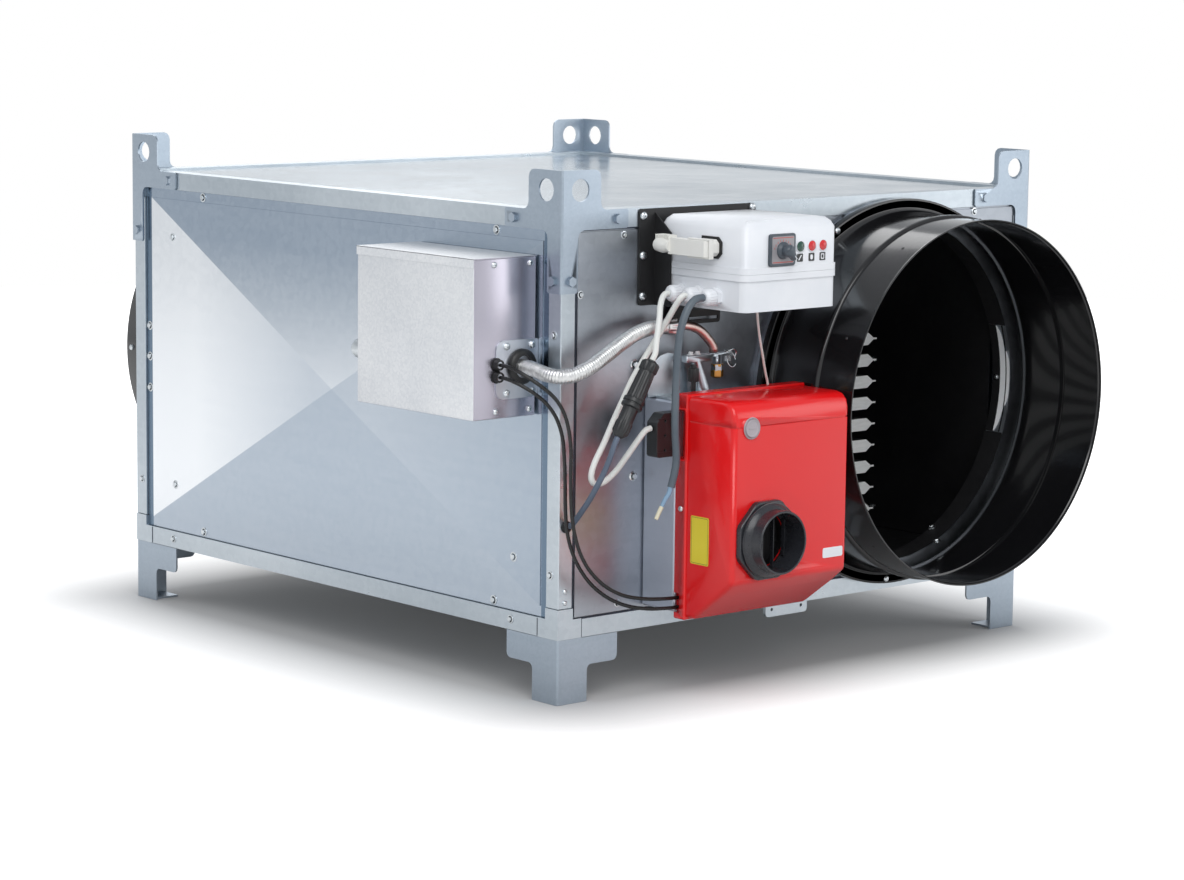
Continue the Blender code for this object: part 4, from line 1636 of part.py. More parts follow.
def make_pipe_stand():
    low = MOUNT_TOP + SEAT_GAP
    high = low + STAND_THICK
    base = slab("LEVEL", low, high, oblong(STAND_LEFT, -STAND_FRONT, STAND_RIGHT, -STAND_BACK, STAND_ROUND))
    foot = Vector((STAND_LEFT + STAND_TUBE_FOOT_INSET, -PIPE_BACK, low + STAND_THICK / 2))
    head = Vector((STAND_LEFT + STAND_TUBE_HEAD_INSET, -PIPE_BACK, CLAMP_BOTTOM + CLAMP_HEIGHT / 2))
    lean = head - foot
    column = drum(foot, lean.normalized(), STAND_TUBE_RADIUS, lean.length, SMALL_STEPS, CLAMP_HALF_DEPTH)
    column = carved(column, block(
        (STAND_LEFT, -STAND_FRONT, low - STAND_TUBE_RADIUS), (STAND_RIGHT, -STAND_BACK, low)))
    clamp = block((CLAMP_LEFT, -PIPE_BACK - CLAMP_HALF_DEPTH, CLAMP_BOTTOM),
                  (CLAMP_RIGHT, -PIPE_BACK + CLAMP_HALF_DEPTH, CLAMP_BOTTOM + CLAMP_HEIGHT), SEAM_DEPTH, 1)
    lug_top = CLAMP_BOTTOM + CLAMP_HEIGHT - WELD
    lug = block((CLAMP_RIGHT - OVERRUN, -PIPE_BACK - LUG_THICK, lug_top - LUG_THICK),
                (LUG_RIGHT, -PIPE_BACK + LUG_THICK, lug_top))
    fitting_top = Vector((CLAMP_RIGHT + FITTING_INSET, -PIPE_BACK, lug_top - LUG_THICK / 2))
    fitting = drum(fitting_top, DOWNWARD, FITTING_RADIUS, FITTING_LENGTH, SMALL_STEPS)
    waist = fitting_top + DOWNWARD * FITTING_LENGTH / 2
    hexagon = drum(waist, DOWNWARD, FITTING_HEX_RADIUS, FITTING_HEX_LENGTH, BOLT_STEPS)
    half = ARCH_PLATE_RADIUS
    rise = ARCH_PLATE_TOP - high
    shoulder = rise - half
    arch = [(ARCH_PLATE_CENTRE - half, high - STAND_THICK / 2), (ARCH_PLATE_CENTRE + half, high - STAND_THICK / 2)]
    for step in range(9):
        turn = math.pi * step / 8
        arch.append((ARCH_PLATE_CENTRE + half * math.cos(turn), high + shoulder + half * math.sin(turn)))
    wing = slab("FRONT", -STAND_BACK - ARCH_PLATE_THICK - SEAM_WIDTH, -STAND_BACK - SEAM_WIDTH, arch)
    kept(fused(base, column, clamp, lug, fitting, hexagon, wing), "pipe_stand", "galvanised")


# Leads
def lead(name, route, radius, look, start=None, end=None):
    """A lead along its route; the first and the last stretch stay straight, so its ends sit square."""
    points = route_points(route, start, end)
    middle = smooth_line(points[1:-1], max(2 * radius * LEAD_SPACING_DIAMETERS, LEAD_SPACING))
    kept(tube([points[0], *middle, points[-1]], radius, 2 if radius > BLACK_LEAD_RADIUS else 1), name, look)


def connector_ends():
    top = (BOX_LEFT - CONNECTOR_TOP_REACH, -CONNECTOR_TOP_BACK, GLAND_HEIGHT - CONNECTOR_TOP_DROP)
    foot = (BOX_LEFT - CONNECTOR_FOOT_REACH, -CONNECTOR_FOOT_BACK, GLAND_HEIGHT - CONNECTOR_FOOT_DROP)
    return Vector(top), Vector(foot)


def make_connector():
    start, end = connector_ends()
    length = (end - start).length
    middle = length / 2
    half_ring = CONNECTOR_RING_LENGTH / 2
    neck = CONNECTOR_BODY_RADIUS - SLIDE_GAP
    profile = [
        (0, length), (neck * NECK_END_SHARE, length), (CONNECTOR_NUT_RADIUS, length - CONNECTOR_NUT_LENGTH / 3),
        (CONNECTOR_NUT_RADIUS, length - CONNECTOR_NUT_LENGTH), (CONNECTOR_BODY_RADIUS, length - CONNECTOR_NUT_LENGTH),
        (CONNECTOR_BODY_RADIUS, middle + half_ring), (CONNECTOR_RING_RADIUS, middle + half_ring),
        (CONNECTOR_RING_RADIUS, middle - half_ring), (CONNECTOR_BODY_RADIUS, middle - half_ring),
        (CONNECTOR_BODY_RADIUS, CONNECTOR_NUT_LENGTH), (CONNECTOR_NUT_RADIUS, CONNECTOR_NUT_LENGTH),
        (CONNECTOR_NUT_RADIUS, CONNECTOR_NUT_LENGTH / 3), (neck * NECK_END_SHARE, 0), (0, 0)]
    kept(turned(profile, start, (end - start).normalized(), SMALL_STEPS), "lead_connector", "black_plastic")


def make_leads():
    mouth = BOX_LEFT - GLAND_LENGTH - LEAD_SEAT
    rear_exit, middle_exit, front_exit = [(mouth, -back, GLAND_HEIGHT) for back in GLAND_BACKS]
    plug_face = (PIN_PLUG_LEFT - PLUG_LEAD_SEAT, -(PIN_PLUG_BACK + PIN_PLUG_FRONT) / 2,
                 PIN_PLUG_BOTTOM + PLUG_LEAD_RISE)
    top, foot = connector_ends()
    above = (top.x + CONNECTOR_LEAD_GAP_SHARE * (top - foot).x, top.y, top.z + CONNECTOR_LEAD_GAP)
    below = (foot.x - CONNECTOR_LEAD_GAP_SHARE * (top - foot).x, foot.y, foot.z - CONNECTOR_LEAD_GAP)
    lead("pale_lead", PALE_LEAD_ROUTE, PALE_LEAD_RADIUS, "pale_sheath", rear_exit, above)
    make_connector()
    lead("sensor_lead", GREY_LEAD_ROUTE, GREY_LEAD_RADIUS, "blue_grey_sheath", below)
    lead("burner_lead", BURNER_LEAD_ROUTE, PALE_LEAD_RADIUS, "pale_sheath", middle_exit, plug_face)
    lead("mains_lead", MAINS_LEAD_ROUTE, MAINS_LEAD_RADIUS, "dark_sheath", front_exit)

    limit_leads = (("upper", UPPER_LEAD_ROUTE, UPPER_LEAD_RISE), ("lower", LOWER_LEAD_ROUTE, LOWER_LEAD_RISE))
    for (name, route, rise), gland_rise in zip(limit_leads, SMALL_GLAND_RISES):
        gland = (-SMALL_GLAND_REACH, SIDE_BOX_FRONT - LIMIT_LEAD_SETBACK, GLAND_PLATE_BOTTOM + gland_rise)
        notch = (COVER_LEFT + LIMIT_LEAD_DEPTH, -MOUNT_FORWARD - LEAD_NOTCH_LENGTH / 2 - LEAD_SEAT,
                 LEAD_NOTCH_BOTTOM + rise)
        lead("limit_lead_" + name, route, BLACK_LEAD_RADIUS, "black_sheath", gland, notch)

    top = (BOX_LEFT + EARTH_LEAD_INSET, -EARTH_LEAD_TOP_BACK, BOX_BOTTOM - EARTH_LEAD_TOP_SEAT)
    foot = (COVER_LEFT + EARTH_LEAD_FOOT_INSET, -EARTH_LEAD_FOOT_BACK, COVER_TOP + EARTH_LEAD_FOOT_SEAT)
    lead("earth_lead", THIN_LEAD_ROUTE, THIN_LEAD_RADIUS, "pale_sheath", top, foot)


make_frame()
make_panels()
make_brackets()
make_feet()
make_outlet()
make_burner_mount()
make_burner_cover()
make_burner_fittings()
make_control_bracket()
make_control_box()
make_switches()
make_thermostat_connector()
make_side_box()
make_heat_side()
make_fan_ring()
make_fan_guard()
make_fan_drive()
make_hose()
make_pipe_stand()
make_leads()
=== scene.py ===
"""Dress the hanging air heater: camera, leads, foil hose, small parts, materials and studio."""

from math import cos, pi, radians, sin, sqrt, tau

import bmesh
import bpy
from mathutils import Matrix, Vector, noise


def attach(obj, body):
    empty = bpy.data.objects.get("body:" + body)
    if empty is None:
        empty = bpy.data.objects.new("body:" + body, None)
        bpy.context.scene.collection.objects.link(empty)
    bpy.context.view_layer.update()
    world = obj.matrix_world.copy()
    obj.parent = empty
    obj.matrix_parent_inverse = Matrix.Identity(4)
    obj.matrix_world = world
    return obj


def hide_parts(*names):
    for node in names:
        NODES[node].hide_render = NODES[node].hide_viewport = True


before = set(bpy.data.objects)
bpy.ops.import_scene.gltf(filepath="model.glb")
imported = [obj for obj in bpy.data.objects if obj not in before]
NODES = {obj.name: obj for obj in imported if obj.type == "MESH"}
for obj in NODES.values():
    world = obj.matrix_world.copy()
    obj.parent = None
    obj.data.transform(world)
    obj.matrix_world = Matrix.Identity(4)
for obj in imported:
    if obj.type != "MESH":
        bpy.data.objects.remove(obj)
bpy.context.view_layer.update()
MM = 0.001
CASING_CORNER = Vector((-0.47235, -0.52285, 0.104))
CASING_WIDTH = 1060
CASING_LENGTH = 1170
CASING_HEIGHT = 670
CORNERS = ("front_left", "front_right", "rear_left", "rear_right")
FORWARD = Vector((0, -1, 0))
BACKWARD = Vector((0, 1, 0))
LEFTWARD = Vector((-1, 0, 0))
RIGHTWARD = Vector((1, 0, 0))
UPWARD = Vector((0, 0, 1))


def at(x, y, z):
    """A place given in millimetres from the lower front left corner of the casing."""
    return CASING_CORNER + Vector((x, y, z)) * MM


def outward(degrees):
    """The direction at an angle of an upright circle seen from the front, counted from its right side."""
    return Vector((cos(radians(degrees)), 0, sin(radians(degrees))))


def show(name, data):
    """A new object in the scene."""
    piece = bpy.data.objects.new(name, data)
    bpy.context.scene.collection.objects.link(piece)
    return piece


# Camera of the photograph
CAMERA_PLACE = Vector((-3.935007, -4.544004, 1.185129))
CAMERA_AZIMUTH = radians(-41.27)
CAMERA_ELEVATION = radians(8.19)
CAMERA_ROLL = radians(0.69)
CAMERA_LENS = 3465 / 1184 * 36


def make_camera():
    back = Vector((sin(CAMERA_AZIMUTH) * cos(CAMERA_ELEVATION), -cos(CAMERA_AZIMUTH) * cos(CAMERA_ELEVATION),
                   sin(CAMERA_ELEVATION)))
    level_right = (-back).cross(UPWARD).normalized()
    level_up = level_right.cross(-back)
    right = level_right * cos(CAMERA_ROLL) + level_up * sin(CAMERA_ROLL)
    up = level_up * cos(CAMERA_ROLL) - level_right * sin(CAMERA_ROLL)
    data = bpy.data.cameras.new("photo_camera")
    data.sensor_width = 36
    data.lens = CAMERA_LENS
    data.clip_end = 100
    camera = show("photo_camera", data)
    turn = Matrix((right, up, back)).transposed().to_4x4()
    camera.matrix_world = Matrix.Translation(CAMERA_PLACE) @ turn
    bpy.context.scene.camera = camera


make_camera()


# Materials made of nodes
class Tree:
    """A node tree with a short way to add and join its nodes."""

    def __init__(self, tree):
        self.tree = tree

    def add(self, kind, **inputs):
        node = self.tree.nodes.new(kind)
        for socket, value in inputs.items():
            self.feed(node.inputs[socket.replace("_", " ")], value)
        return node

    def feed(self, socket, value):
        if isinstance(value, bpy.types.NodeSocket):
            self.tree.links.new(value, socket)
        else:
            socket.default_value = value


LOOKS = {}


class Look(Tree):
    """A material whose colour, roughness and bump come from its nodes."""

    def __init__(self, name, **numbers):
        self.material = bpy.data.materials.new(name)
        self.material.use_nodes = True
        super().__init__(self.material.node_tree)
        self.shader = self.tree.nodes["Principled BSDF"]
        for socket, value in numbers.items():
            self.shader.inputs[socket.replace("_", " ")].default_value = value
        self.place = self.add("ShaderNodeTexCoord").outputs["Object"]
        LOOKS[name] = self.material

    def stretched(self, x, y, z):
        return self.add("ShaderNodeMapping", Vector=self.place, Scale=(x, y, z)).outputs["Vector"]

    def noise(self, scale, detail=3, place=None):
        node = self.add("ShaderNodeTexNoise", Vector=place or self.place, Scale=scale, Detail=detail)
        return node.outputs["Fac"]

    def cells(self, scale):
        """A random grey for each crystal of a cell pattern."""
        node = self.add("ShaderNodeTexVoronoi", Vector=self.place, Scale=scale)
        return self.add("ShaderNodeSeparateColor", Color=node.outputs["Color"]).outputs[0]

    def facing(self):
        """How far a face looks to the back, from -1 to 1."""
        normal = self.add("ShaderNodeNewGeometry").outputs["Normal"]
        return self.add("ShaderNodeSeparateXYZ", Vector=normal).outputs["Y"]

    def band(self, factor, low, high, start=0, end=1):
        """A factor between start and end brought to a number between low and high."""
        return self.add("ShaderNodeMapRange", Value=factor, From_Min=start, From_Max=end, To_Min=low,
                        To_Max=high).outputs["Result"]

    def spread(self, factor, low=0, high=1):
        """The middle of a noise brought to a number between low and high."""
        return self.band(factor, low, high, 0.3, 0.7)

    def sum(self, first, second, operation="ADD"):
        node = self.add("ShaderNodeMath")
        node.operation = operation
        self.feed(node.inputs[0], first)
        self.feed(node.inputs[1], second)
        return node.outputs[0]

    def size(self, value):
        return self.sum(value, 0, "ABSOLUTE")

    def blend(self, factor, first, second):
        node = self.add("ShaderNodeMix")
        node.data_type = "RGBA"
        self.feed(node.inputs[0], factor)
        self.feed(node.inputs[6], first)
        self.feed(node.inputs[7], second)
        return node.outputs[2]

    def bump(self, height, strength, distance):
        node = self.add("ShaderNodeBump", Height=height, Strength=strength, Distance=distance)
        self.feed(self.shader.inputs["Normal"], node.outputs["Normal"])

    def colour(self, value):
        self.feed(self.shader.inputs["Base Color"], value)

    def roughness(self, value):
        self.feed(self.shader.inputs["Roughness"], value)


def rgb(red, green, blue):
    """A colour as it is seen, from 0 to 255, given to the shader."""
    values = []
    for part in (red, green, blue):
        share = part / 255
        values.append(share / 12.92 if share <= 0.04045 else ((share + 0.055) / 1.055) ** 2.4)
    return (*values, 1)


def zinc_look(name, dark, pale, spangle, smoothest, roughest, metallic=1):
    """Zinc coated sheet: faint crystals, soft clouds, rolling streaks and a slight waviness."""
    look = Look(name, Metallic=metallic)
    crystals = look.cells(spangle)
    streaks = look.noise(3, 4, look.stretched(2, 2, 30))
    tone = look.sum(look.band(crystals, 0, 0.14), look.spread(look.noise(1.6), 0, 0.6))
    look.colour(look.blend(look.sum(tone, look.spread(streaks, 0.06, 0.16)), rgb(*dark), rgb(*pale)))
    look.roughness(look.sum(look.band(crystals, 0, 0.04), look.spread(look.noise(9), smoothest, roughest)))
    look.bump(look.noise(2.6, 1), 0.25, 0.004)


# The half sizes, in metres, of the side panels' field inside their rim
FIELD_HALF_LENGTH = 0.5372
FIELD_HALF_HEIGHT = 0.2872


def broken_sheet_look():
    """Zinc coated sheet with a cross-break, whose four triangles are painted a little lighter and darker as
    painted light and shade, and whose end rims are painted darker as shade.
    """
    look = Look("cross_broken_sheet", Metallic=1)
    middle = at(0, CASING_LENGTH / 2, CASING_HEIGHT / 2)
    split = look.add("ShaderNodeSeparateXYZ", Vector=look.place)
    along = look.sum(look.sum(split.outputs["Y"], middle.y, "SUBTRACT"), FIELD_HALF_LENGTH, "DIVIDE")
    rise = look.sum(look.sum(split.outputs["Z"], middle.z, "SUBTRACT"), FIELD_HALF_HEIGHT, "DIVIDE")
    away = look.size(along)
    # Painted light and shade: each triangle of the cross-break gets its own tone, with a gradient, for how
    # the light falls on it.
    upright = look.band(look.sum(look.size(rise), away, "SUBTRACT"), 0, 1, -0.004, 0.004)
    rear = look.band(along, 0.50, 1, 0.1, 0.75)
    near = look.band(away, 0.40, 0.22, 0.2, 1)
    side = look.blend(look.band(along, 0, 1, -0.001, 0.001), near, rear)
    upper = look.band(rise, 0.72, 0.16, 0, 0.8)
    level = look.blend(look.band(rise, 0, 1, -0.001, 0.001), (0.30, 0.30, 0.30, 1), upper)
    facet_painted_light = look.add("ShaderNodeSeparateColor", Color=look.blend(upright, side, level)).outputs[0]
    crystals = look.cells(90)
    clouds = look.noise(1.3, 2)
    streaks = look.noise(3, 4, look.stretched(2, 2, 30))
    tone = look.sum(look.band(crystals, -0.02, 0.02), look.spread(clouds, -0.03, 0.03))
    tone = look.sum(look.sum(tone, look.spread(streaks, -0.012, 0.012)), facet_painted_light)
    # Painted shade: the rims beyond the field's ends are darker, as in the shade of their recess.
    rim = look.band(away, 0, 1, 1.002, 1.004)
    look.colour(look.blend(rim, look.blend(tone, rgb(144, 160, 177), rgb(240, 243, 246)), rgb(112, 130, 148)))
    look.roughness(look.sum(look.band(crystals, 0, 0.03), look.spread(clouds, 0.18, 0.25)))
    look.bump(look.noise(2.2, 1), 0.12, 0.004)


def paint_look(name, colour, second, rough, coat):
    """Gloss paint with a faint orange peel and a slightly uneven tone."""
    look = Look(name, Coat_Weight=coat, Coat_Roughness=0.05)
    clouds = look.noise(5)
    look.colour(look.blend(look.spread(clouds), colour, second))
    look.roughness(look.spread(clouds, rough, rough + 0.05))
    look.bump(look.sum(look.noise(90, 1), look.band(look.noise(4, 1), 0, 3)), 0.02, 0.001)


def moulded_look(name, dark, pale, rough, grain=500, depth=0.05):
    """Moulded plastic with a fine eroded grain and a slight change of tone."""
    look = Look(name)
    look.colour(look.blend(look.spread(look.noise(14)), dark, pale))
    fine = look.noise(grain)
    look.roughness(look.spread(fine, rough - 0.06, rough + 0.08))
    look.bump(fine, depth, 0.0006)


def box_look():
    """Box sheet: a fine matt spangle on the sides; the folded front and rear faces are smoother, and painted
    darker and pinkish as shade and a reflection.
    """
    look = Look("box_sheet", Metallic=0.85)
    smooth_and_shaded = look.band(look.size(look.facing()), 0, 1, 0.7, 0.9)
    clouds = look.noise(5)
    tone = look.sum(look.band(look.cells(260), 0, 0.4), look.spread(clouds, 0, 0.6))
    side = look.blend(tone, rgb(214, 217, 221), rgb(240, 241, 242))
    # Painted shade and painted reflection: the front and rear faces take a darker, pinkish tone than the
    # sides of the same sheet.
    look.colour(look.blend(smooth_and_shaded, side, look.blend(clouds, rgb(172, 169, 181), rgb(196, 192, 203))))
    look.roughness(look.band(smooth_and_shaded, 0.46, 0.26))
    look.bump(look.noise(2.6, 1), 0.15, 0.004)


def copper_look():
    """A drawn copper tube with faint tarnish."""
    look = Look("copper_tube", Metallic=1)
    look.colour(look.blend(look.spread(look.noise(26, 4)), rgb(206, 176, 168), rgb(232, 214, 208)))
    look.roughness(look.spread(look.noise(300, 2), 0.32, 0.44))
    look.bump(look.noise(120, 2), 0.04, 0.001)


def foil_look():
    """Aluminium foil wound on a hose: bright, finely crumpled and uneven in gloss."""
    look = Look("crinkled_foil", Metallic=1)
    crumple = look.noise(160, 4)
    look.colour(look.blend(look.spread(crumple), rgb(196, 197, 198), rgb(232, 232, 231)))
    look.roughness(look.spread(crumple, 0.32, 0.46))
    look.bump(crumple, 0.10, 0.0005)


def lens_look(name, dark, bright):
    """A ribbed, coloured pilot lamp lens."""
    look = Look(name, Coat_Weight=0.5, Coat_Roughness=0.06)
    facets = look.cells(420)
    look.colour(look.blend(look.band(facets, 0, 1), dark, bright))
    look.roughness(look.spread(look.noise(300, 2), 0.12, 0.24))
    look.bump(facets, 0.12, 0.0008)


def pocket_look():
    """Exchanger sheet: pale streaked faces towards the outlet as painted light, near black faces elsewhere as
    painted shade.
    """
    look = Look("exchanger_sheet", Metallic=0.05)
    # Painted light and shade: faces towards the outlet are pale as if lit, all others near black as if in
    # shade.
    front = look.band(look.facing(), 1, 0, -0.9, -0.5)
    streaks = look.noise(40, 4, look.stretched(1, 1, 6))
    pale = look.blend(look.spread(streaks), rgb(236, 237, 235), rgb(252, 252, 251))
    painted_shade_tone = look.blend(look.noise(12, 4), rgb(20, 20, 21), rgb(40, 40, 41))
    look.colour(look.blend(front, painted_shade_tone, pale))
    look.roughness(look.band(front, 0.6, 0.34))
    look.bump(streaks, 0.08, 0.001)


# Dark and pale tone, crystals to the metre, lowest and highest roughness, and metallic where it isn't 1
ZINC_LOOKS = {
    "galvanised_sheet": ((150, 162, 172), (206, 214, 220), 90, 0.14, 0.22),
    "front_sheet": ((140, 146, 154), (186, 191, 198), 90, 0.30, 0.38),
    "seam_shade": ((58, 62, 74), (76, 80, 92), 90, 0.4, 0.5),
    "galvanised_rail": ((168, 178, 186), (214, 221, 226), 120, 0.26, 0.36),
    "zinc_plate": ((148, 161, 174), (192, 202, 212), 260, 0.3, 0.42),
    "bright_bolt": ((190, 196, 200), (232, 236, 238), 600, 0.2, 0.3),
    "heated_steel": ((60, 62, 64), (96, 98, 100), 60, 0.45, 0.6),
    "brass": ((190, 140, 70), (222, 176, 104), 200, 0.25, 0.4),
    "gland_sheet": ((196, 201, 210), (222, 225, 232), 60, 0.3, 0.4),
    "mount_sheet": ((186, 191, 202), (212, 216, 226), 60, 0.4, 0.5),
    # Painted light: near white and not metallic, so the bare sheet at the bore's cheek reads as brightly lit.
    "bright_sheet": ((246, 249, 252), (252, 253, 254), 90, 0.5, 0.6, 0),
}
# Dark and pale tone, roughness, and where they aren't the usual ones the scale of the grain and its depth
MOULDED_LOOKS = {
    "black_plastic": ((28, 29, 31), (38, 40, 42), 0.34),
    "intake_plastic": ((38, 39, 44), (46, 48, 53), 0.26, 60, 0.01),
    "button_plastic": ((160, 152, 158), (174, 166, 171), 0.4),
    "white_plastic": ((222, 225, 230), (230, 232, 236), 0.34, 700, 0.03),
    "grey_plastic": ((62, 70, 78), (74, 83, 92), 0.36),
    "switch_face": ((140, 138, 142), (158, 154, 157), 0.4),
    "beige_plastic": ((222, 221, 215), (232, 231, 227), 0.4, 300, 0.02),
    "pale_sheath": ((218, 220, 216), (232, 233, 230), 0.42, 260, 0.08),
    "blue_grey_sheath": ((80, 92, 110), (96, 108, 126), 0.4, 260, 0.08),
    "dark_sheath": ((74, 84, 94), (92, 102, 110), 0.45, 260, 0.08),
    "black_sheath": ((10, 11, 12), (17, 18, 19), 0.3, 260, 0.05),
    "black_rubber": ((13, 13, 14), (22, 22, 23), 0.42, 200, 0.06),
    "blue_core": ((120, 150, 176), (136, 164, 188), 0.4, 260, 0.08),
    "bare_core": ((206, 200, 176), (220, 214, 190), 0.4, 260, 0.08),
    "yellow_plate": ((220, 200, 48), (228, 210, 62), 0.45),
    "red_print": ((176, 74, 72), (190, 90, 86), 0.5),
    "white_tip": ((224, 226, 228), (236, 238, 240), 0.35),
}


def make_looks():
    for name, numbers in ZINC_LOOKS.items():
        zinc_look(name, *numbers)
    for name, (dark, pale, *numbers) in MOULDED_LOOKS.items():
        moulded_look(name, rgb(*dark), rgb(*pale), *numbers)
    # Painted shade: a near black, matt look for sheets and cups put where the inside lies in shade.
    moulded_look("black_liner", (0.004, 0.004, 0.005, 1), (0.008, 0.008, 0.009, 1), 0.5, 60, 0.02)
    paint_look("black_satin", (0.008, 0.008, 0.009, 1), (0.012, 0.012, 0.013, 1), 0.5, 0)
    paint_look("black_gloss", (0.006, 0.006, 0.007, 1), (0.009, 0.009, 0.010, 1), 0.12, 0.22)
    paint_look("red_gloss", rgb(224, 15, 19), rgb(228, 19, 22), 0.2, 0.1)
    lens_look("green_lens", rgb(22, 62, 50), rgb(32, 78, 62))
    lens_look("red_lens", rgb(190, 22, 30), rgb(216, 44, 48))
    broken_sheet_look()
    box_look()
    copper_look()
    foil_look()
    pocket_look()


make_looks()

# Looks of the solids. Some of these are later shown by a smoother copy of the same look.
NODE_LOOKS = {
    "black_satin": "control_bracket",
    "cross_broken_sheet": "left_panel right_panel",
    "front_sheet": "front_panel",
    "galvanised_sheet": "rear_panel top_panel bottom_panel",
    "gland_sheet": "gland_plate",
    "box_sheet": "thermostat_box",
    "mount_sheet": "burner_mount",
    "galvanised_rail": "base_frame top_frame post_front_left post_front_right post_rear_left post_rear_right "
                       "pipe_stand flue_spigot",
    "zinc_plate": " ".join("lifting_bracket_" + corner + " foot_" + corner for corner in CORNERS),
    "black_gloss": "outlet_flange outlet_collar fan_inlet_ring fan_guard fan_impeller fan_motor",
    "red_gloss": "burner_cover",
    "heated_steel": "burner_blast_tube combustion_chamber",
    "exchanger_sheet": "heat_exchanger",
    "intake_plastic": "burner_air_intake",
    "black_plastic": "burner_plug lead_connector",
    "button_plastic": "burner_reset_button",
    "white_plastic": "control_box control_box_lid",
    "grey_plastic": "switch_plate selector_knob",
    "green_lens": "lamp_green",
    "red_lens": "lamp_red_left lamp_red_right",
    "beige_plastic": "thermostat_socket thermostat_plug locking_clip",
    "black_rubber": "hose_grommet",
    "copper_tube": "arch_pipe",
}
LOOK_OF = {name: look for look, names in NODE_LOOKS.items() for name in names.split()}
# Slots of the record whose looks have another name
SLOTS = {
    "galvanised_sheet": "seam_shade bright_sheet box_sheet mount_sheet",
    "galvanised": "galvanised_rail",
    "zinc_plate": "bright_bolt white_tip brass",
    "black_paint": "black_gloss black_liner",
    "red_paint": "red_gloss red_print",
    "black_plastic": "intake_plastic",
    "button_plastic": "yellow_plate",
    "grey_plastic": "switch_face",
    "black_rubber": "black_sheath",
    "dark_sheath": "blue_core bare_core",
    "copper_pipe": "copper_tube",
    "foil": "crinkled_foil",
}
SLOT_OF = {look: slot for slot, looks in SLOTS.items() for look in looks.split()}


def dress_nodes():
    for name, look in LOOK_OF.items():
        for place in NODES[name].material_slots:
            place.material = LOOKS[look]


dress_nodes()


# Making pieces
def dress(piece, look, body="casing", slot=None):
    """Let a piece ride a body and give it its look. A slot, the look's own one unless it is named, is worked
    out but not given to the piece.
    """
    piece.data.materials.append(LOOKS[look])
    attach(piece, body)
    slot = slot or SLOT_OF.get(look, look)


def mesh_of(cage, name):
    mesh = bpy.data.meshes.new(name)
    cage.to_mesh(mesh)
    cage.free()
    return mesh


def keep(cage, name, look, body="casing", slot=None, bevel=0, smooth=35, replaces=()):
    """Close a cage into a named piece that rides a body. Edges of more than smooth degrees stay sharp."""
    bmesh.ops.recalc_face_normals(cage, faces=cage.faces)
    mesh = mesh_of(cage, name)
    mesh.shade_smooth()
    mesh.set_sharp_from_angle(angle=radians(smooth))
    piece = show(name, mesh)
    dress(piece, look, body, slot)
    if bevel:
        edge = piece.modifiers.new("edge", "BEVEL")
        edge.width = bevel * MM
        edge.segments = 3
        edge.limit_method = "ANGLE"
        edge.harden_normals = True
    if replaces:
        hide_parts(*replaces)
    return piece


def turn_to(axis):
    return UPWARD.rotation_difference(Vector(axis).normalized()).to_matrix()


def skin(cage, rings):
    """Join neighbouring rings with faces. A ring may be a single point."""
    for low, high in zip(rings, rings[1:]):
        steps = max(len(low), len(high))
        for step in range(steps):
            other = (step + 1) % steps
            corners = (low[step % len(low)], low[other % len(low)],
                       high[other % len(high)], high[step % len(high)])
            face = list(dict.fromkeys(corners))
            if len(face) > 2:
                cage.faces.new(face)


def turned(cage, profile, place, axis, steps=24, turn=0, flutes=0, shape=None):
    """Add a turned form. A row of the profile is a radius, a height and, where wanted, a depth of flutes."""
    to_axis = turn_to(axis)
    rings = []
    for radius, height, *flute in profile:
        if not radius:
            rings.append([cage.verts.new(place + to_axis @ Vector((0, 0, height * MM)))])
            continue
        ring = []
        for step in range(steps):
            angle = turn + tau * step / steps
            reach = radius - sum(flute) * (0.5 - 0.5 * cos(flutes * angle))
            if shape:
                reach *= shape(angle)
            ring.append(cage.verts.new(place + to_axis @ (
                Vector((reach * cos(angle), reach * sin(angle), height)) * MM)))
        rings.append(ring)
    skin(cage, rings)


def turned_piece(name, look, profile, places, axis, steps, turn=0, flutes=0, **how):
    """A piece of one turned form at one or more places."""
    cage = bmesh.new()
    for place in places:
        turned(cage, profile, place, axis, steps, turn, flutes)
    return keep(cage, name, look, **how)


def hollow_piece(name, look, outer, wall, place, axis, steps, **how):
    """A turned sheet of even thickness, closed at both rims."""
    cage = bmesh.new()
    inner = [(radius - wall, height) for radius, height in outer]
    turned(cage, [*outer, *inner[::-1], outer[0]], place, axis, steps)
    bmesh.ops.remove_doubles(cage, verts=cage.verts, dist=0.000001)
    keep(cage, name, look, **how)


BLOCK_FACES = ((0, 1, 3, 2), (4, 6, 7, 5), (0, 4, 5, 1), (2, 3, 7, 6), (0, 2, 6, 4), (1, 5, 7, 3))


def solid(cage, places, faces=BLOCK_FACES):
    """Add a solid from its eight corners."""
    corners = [cage.verts.new(place) for place in places]
    for face in faces:
        cage.faces.new([corners[i] for i in face])


def block(cage, low, high):
    """Add a block between two places in millimetres of the casing."""
    xs, ys, zs = zip(low, high)
    solid(cage, [at(x, y, z) for x in xs for y in ys for z in zs])


def blocks(name, look, pairs, **how):
    """A piece of blocks, each between two places."""
    cage = bmesh.new()
    for low, high in pairs:
        block(cage, low, high)
    keep(cage, name, look, **how)


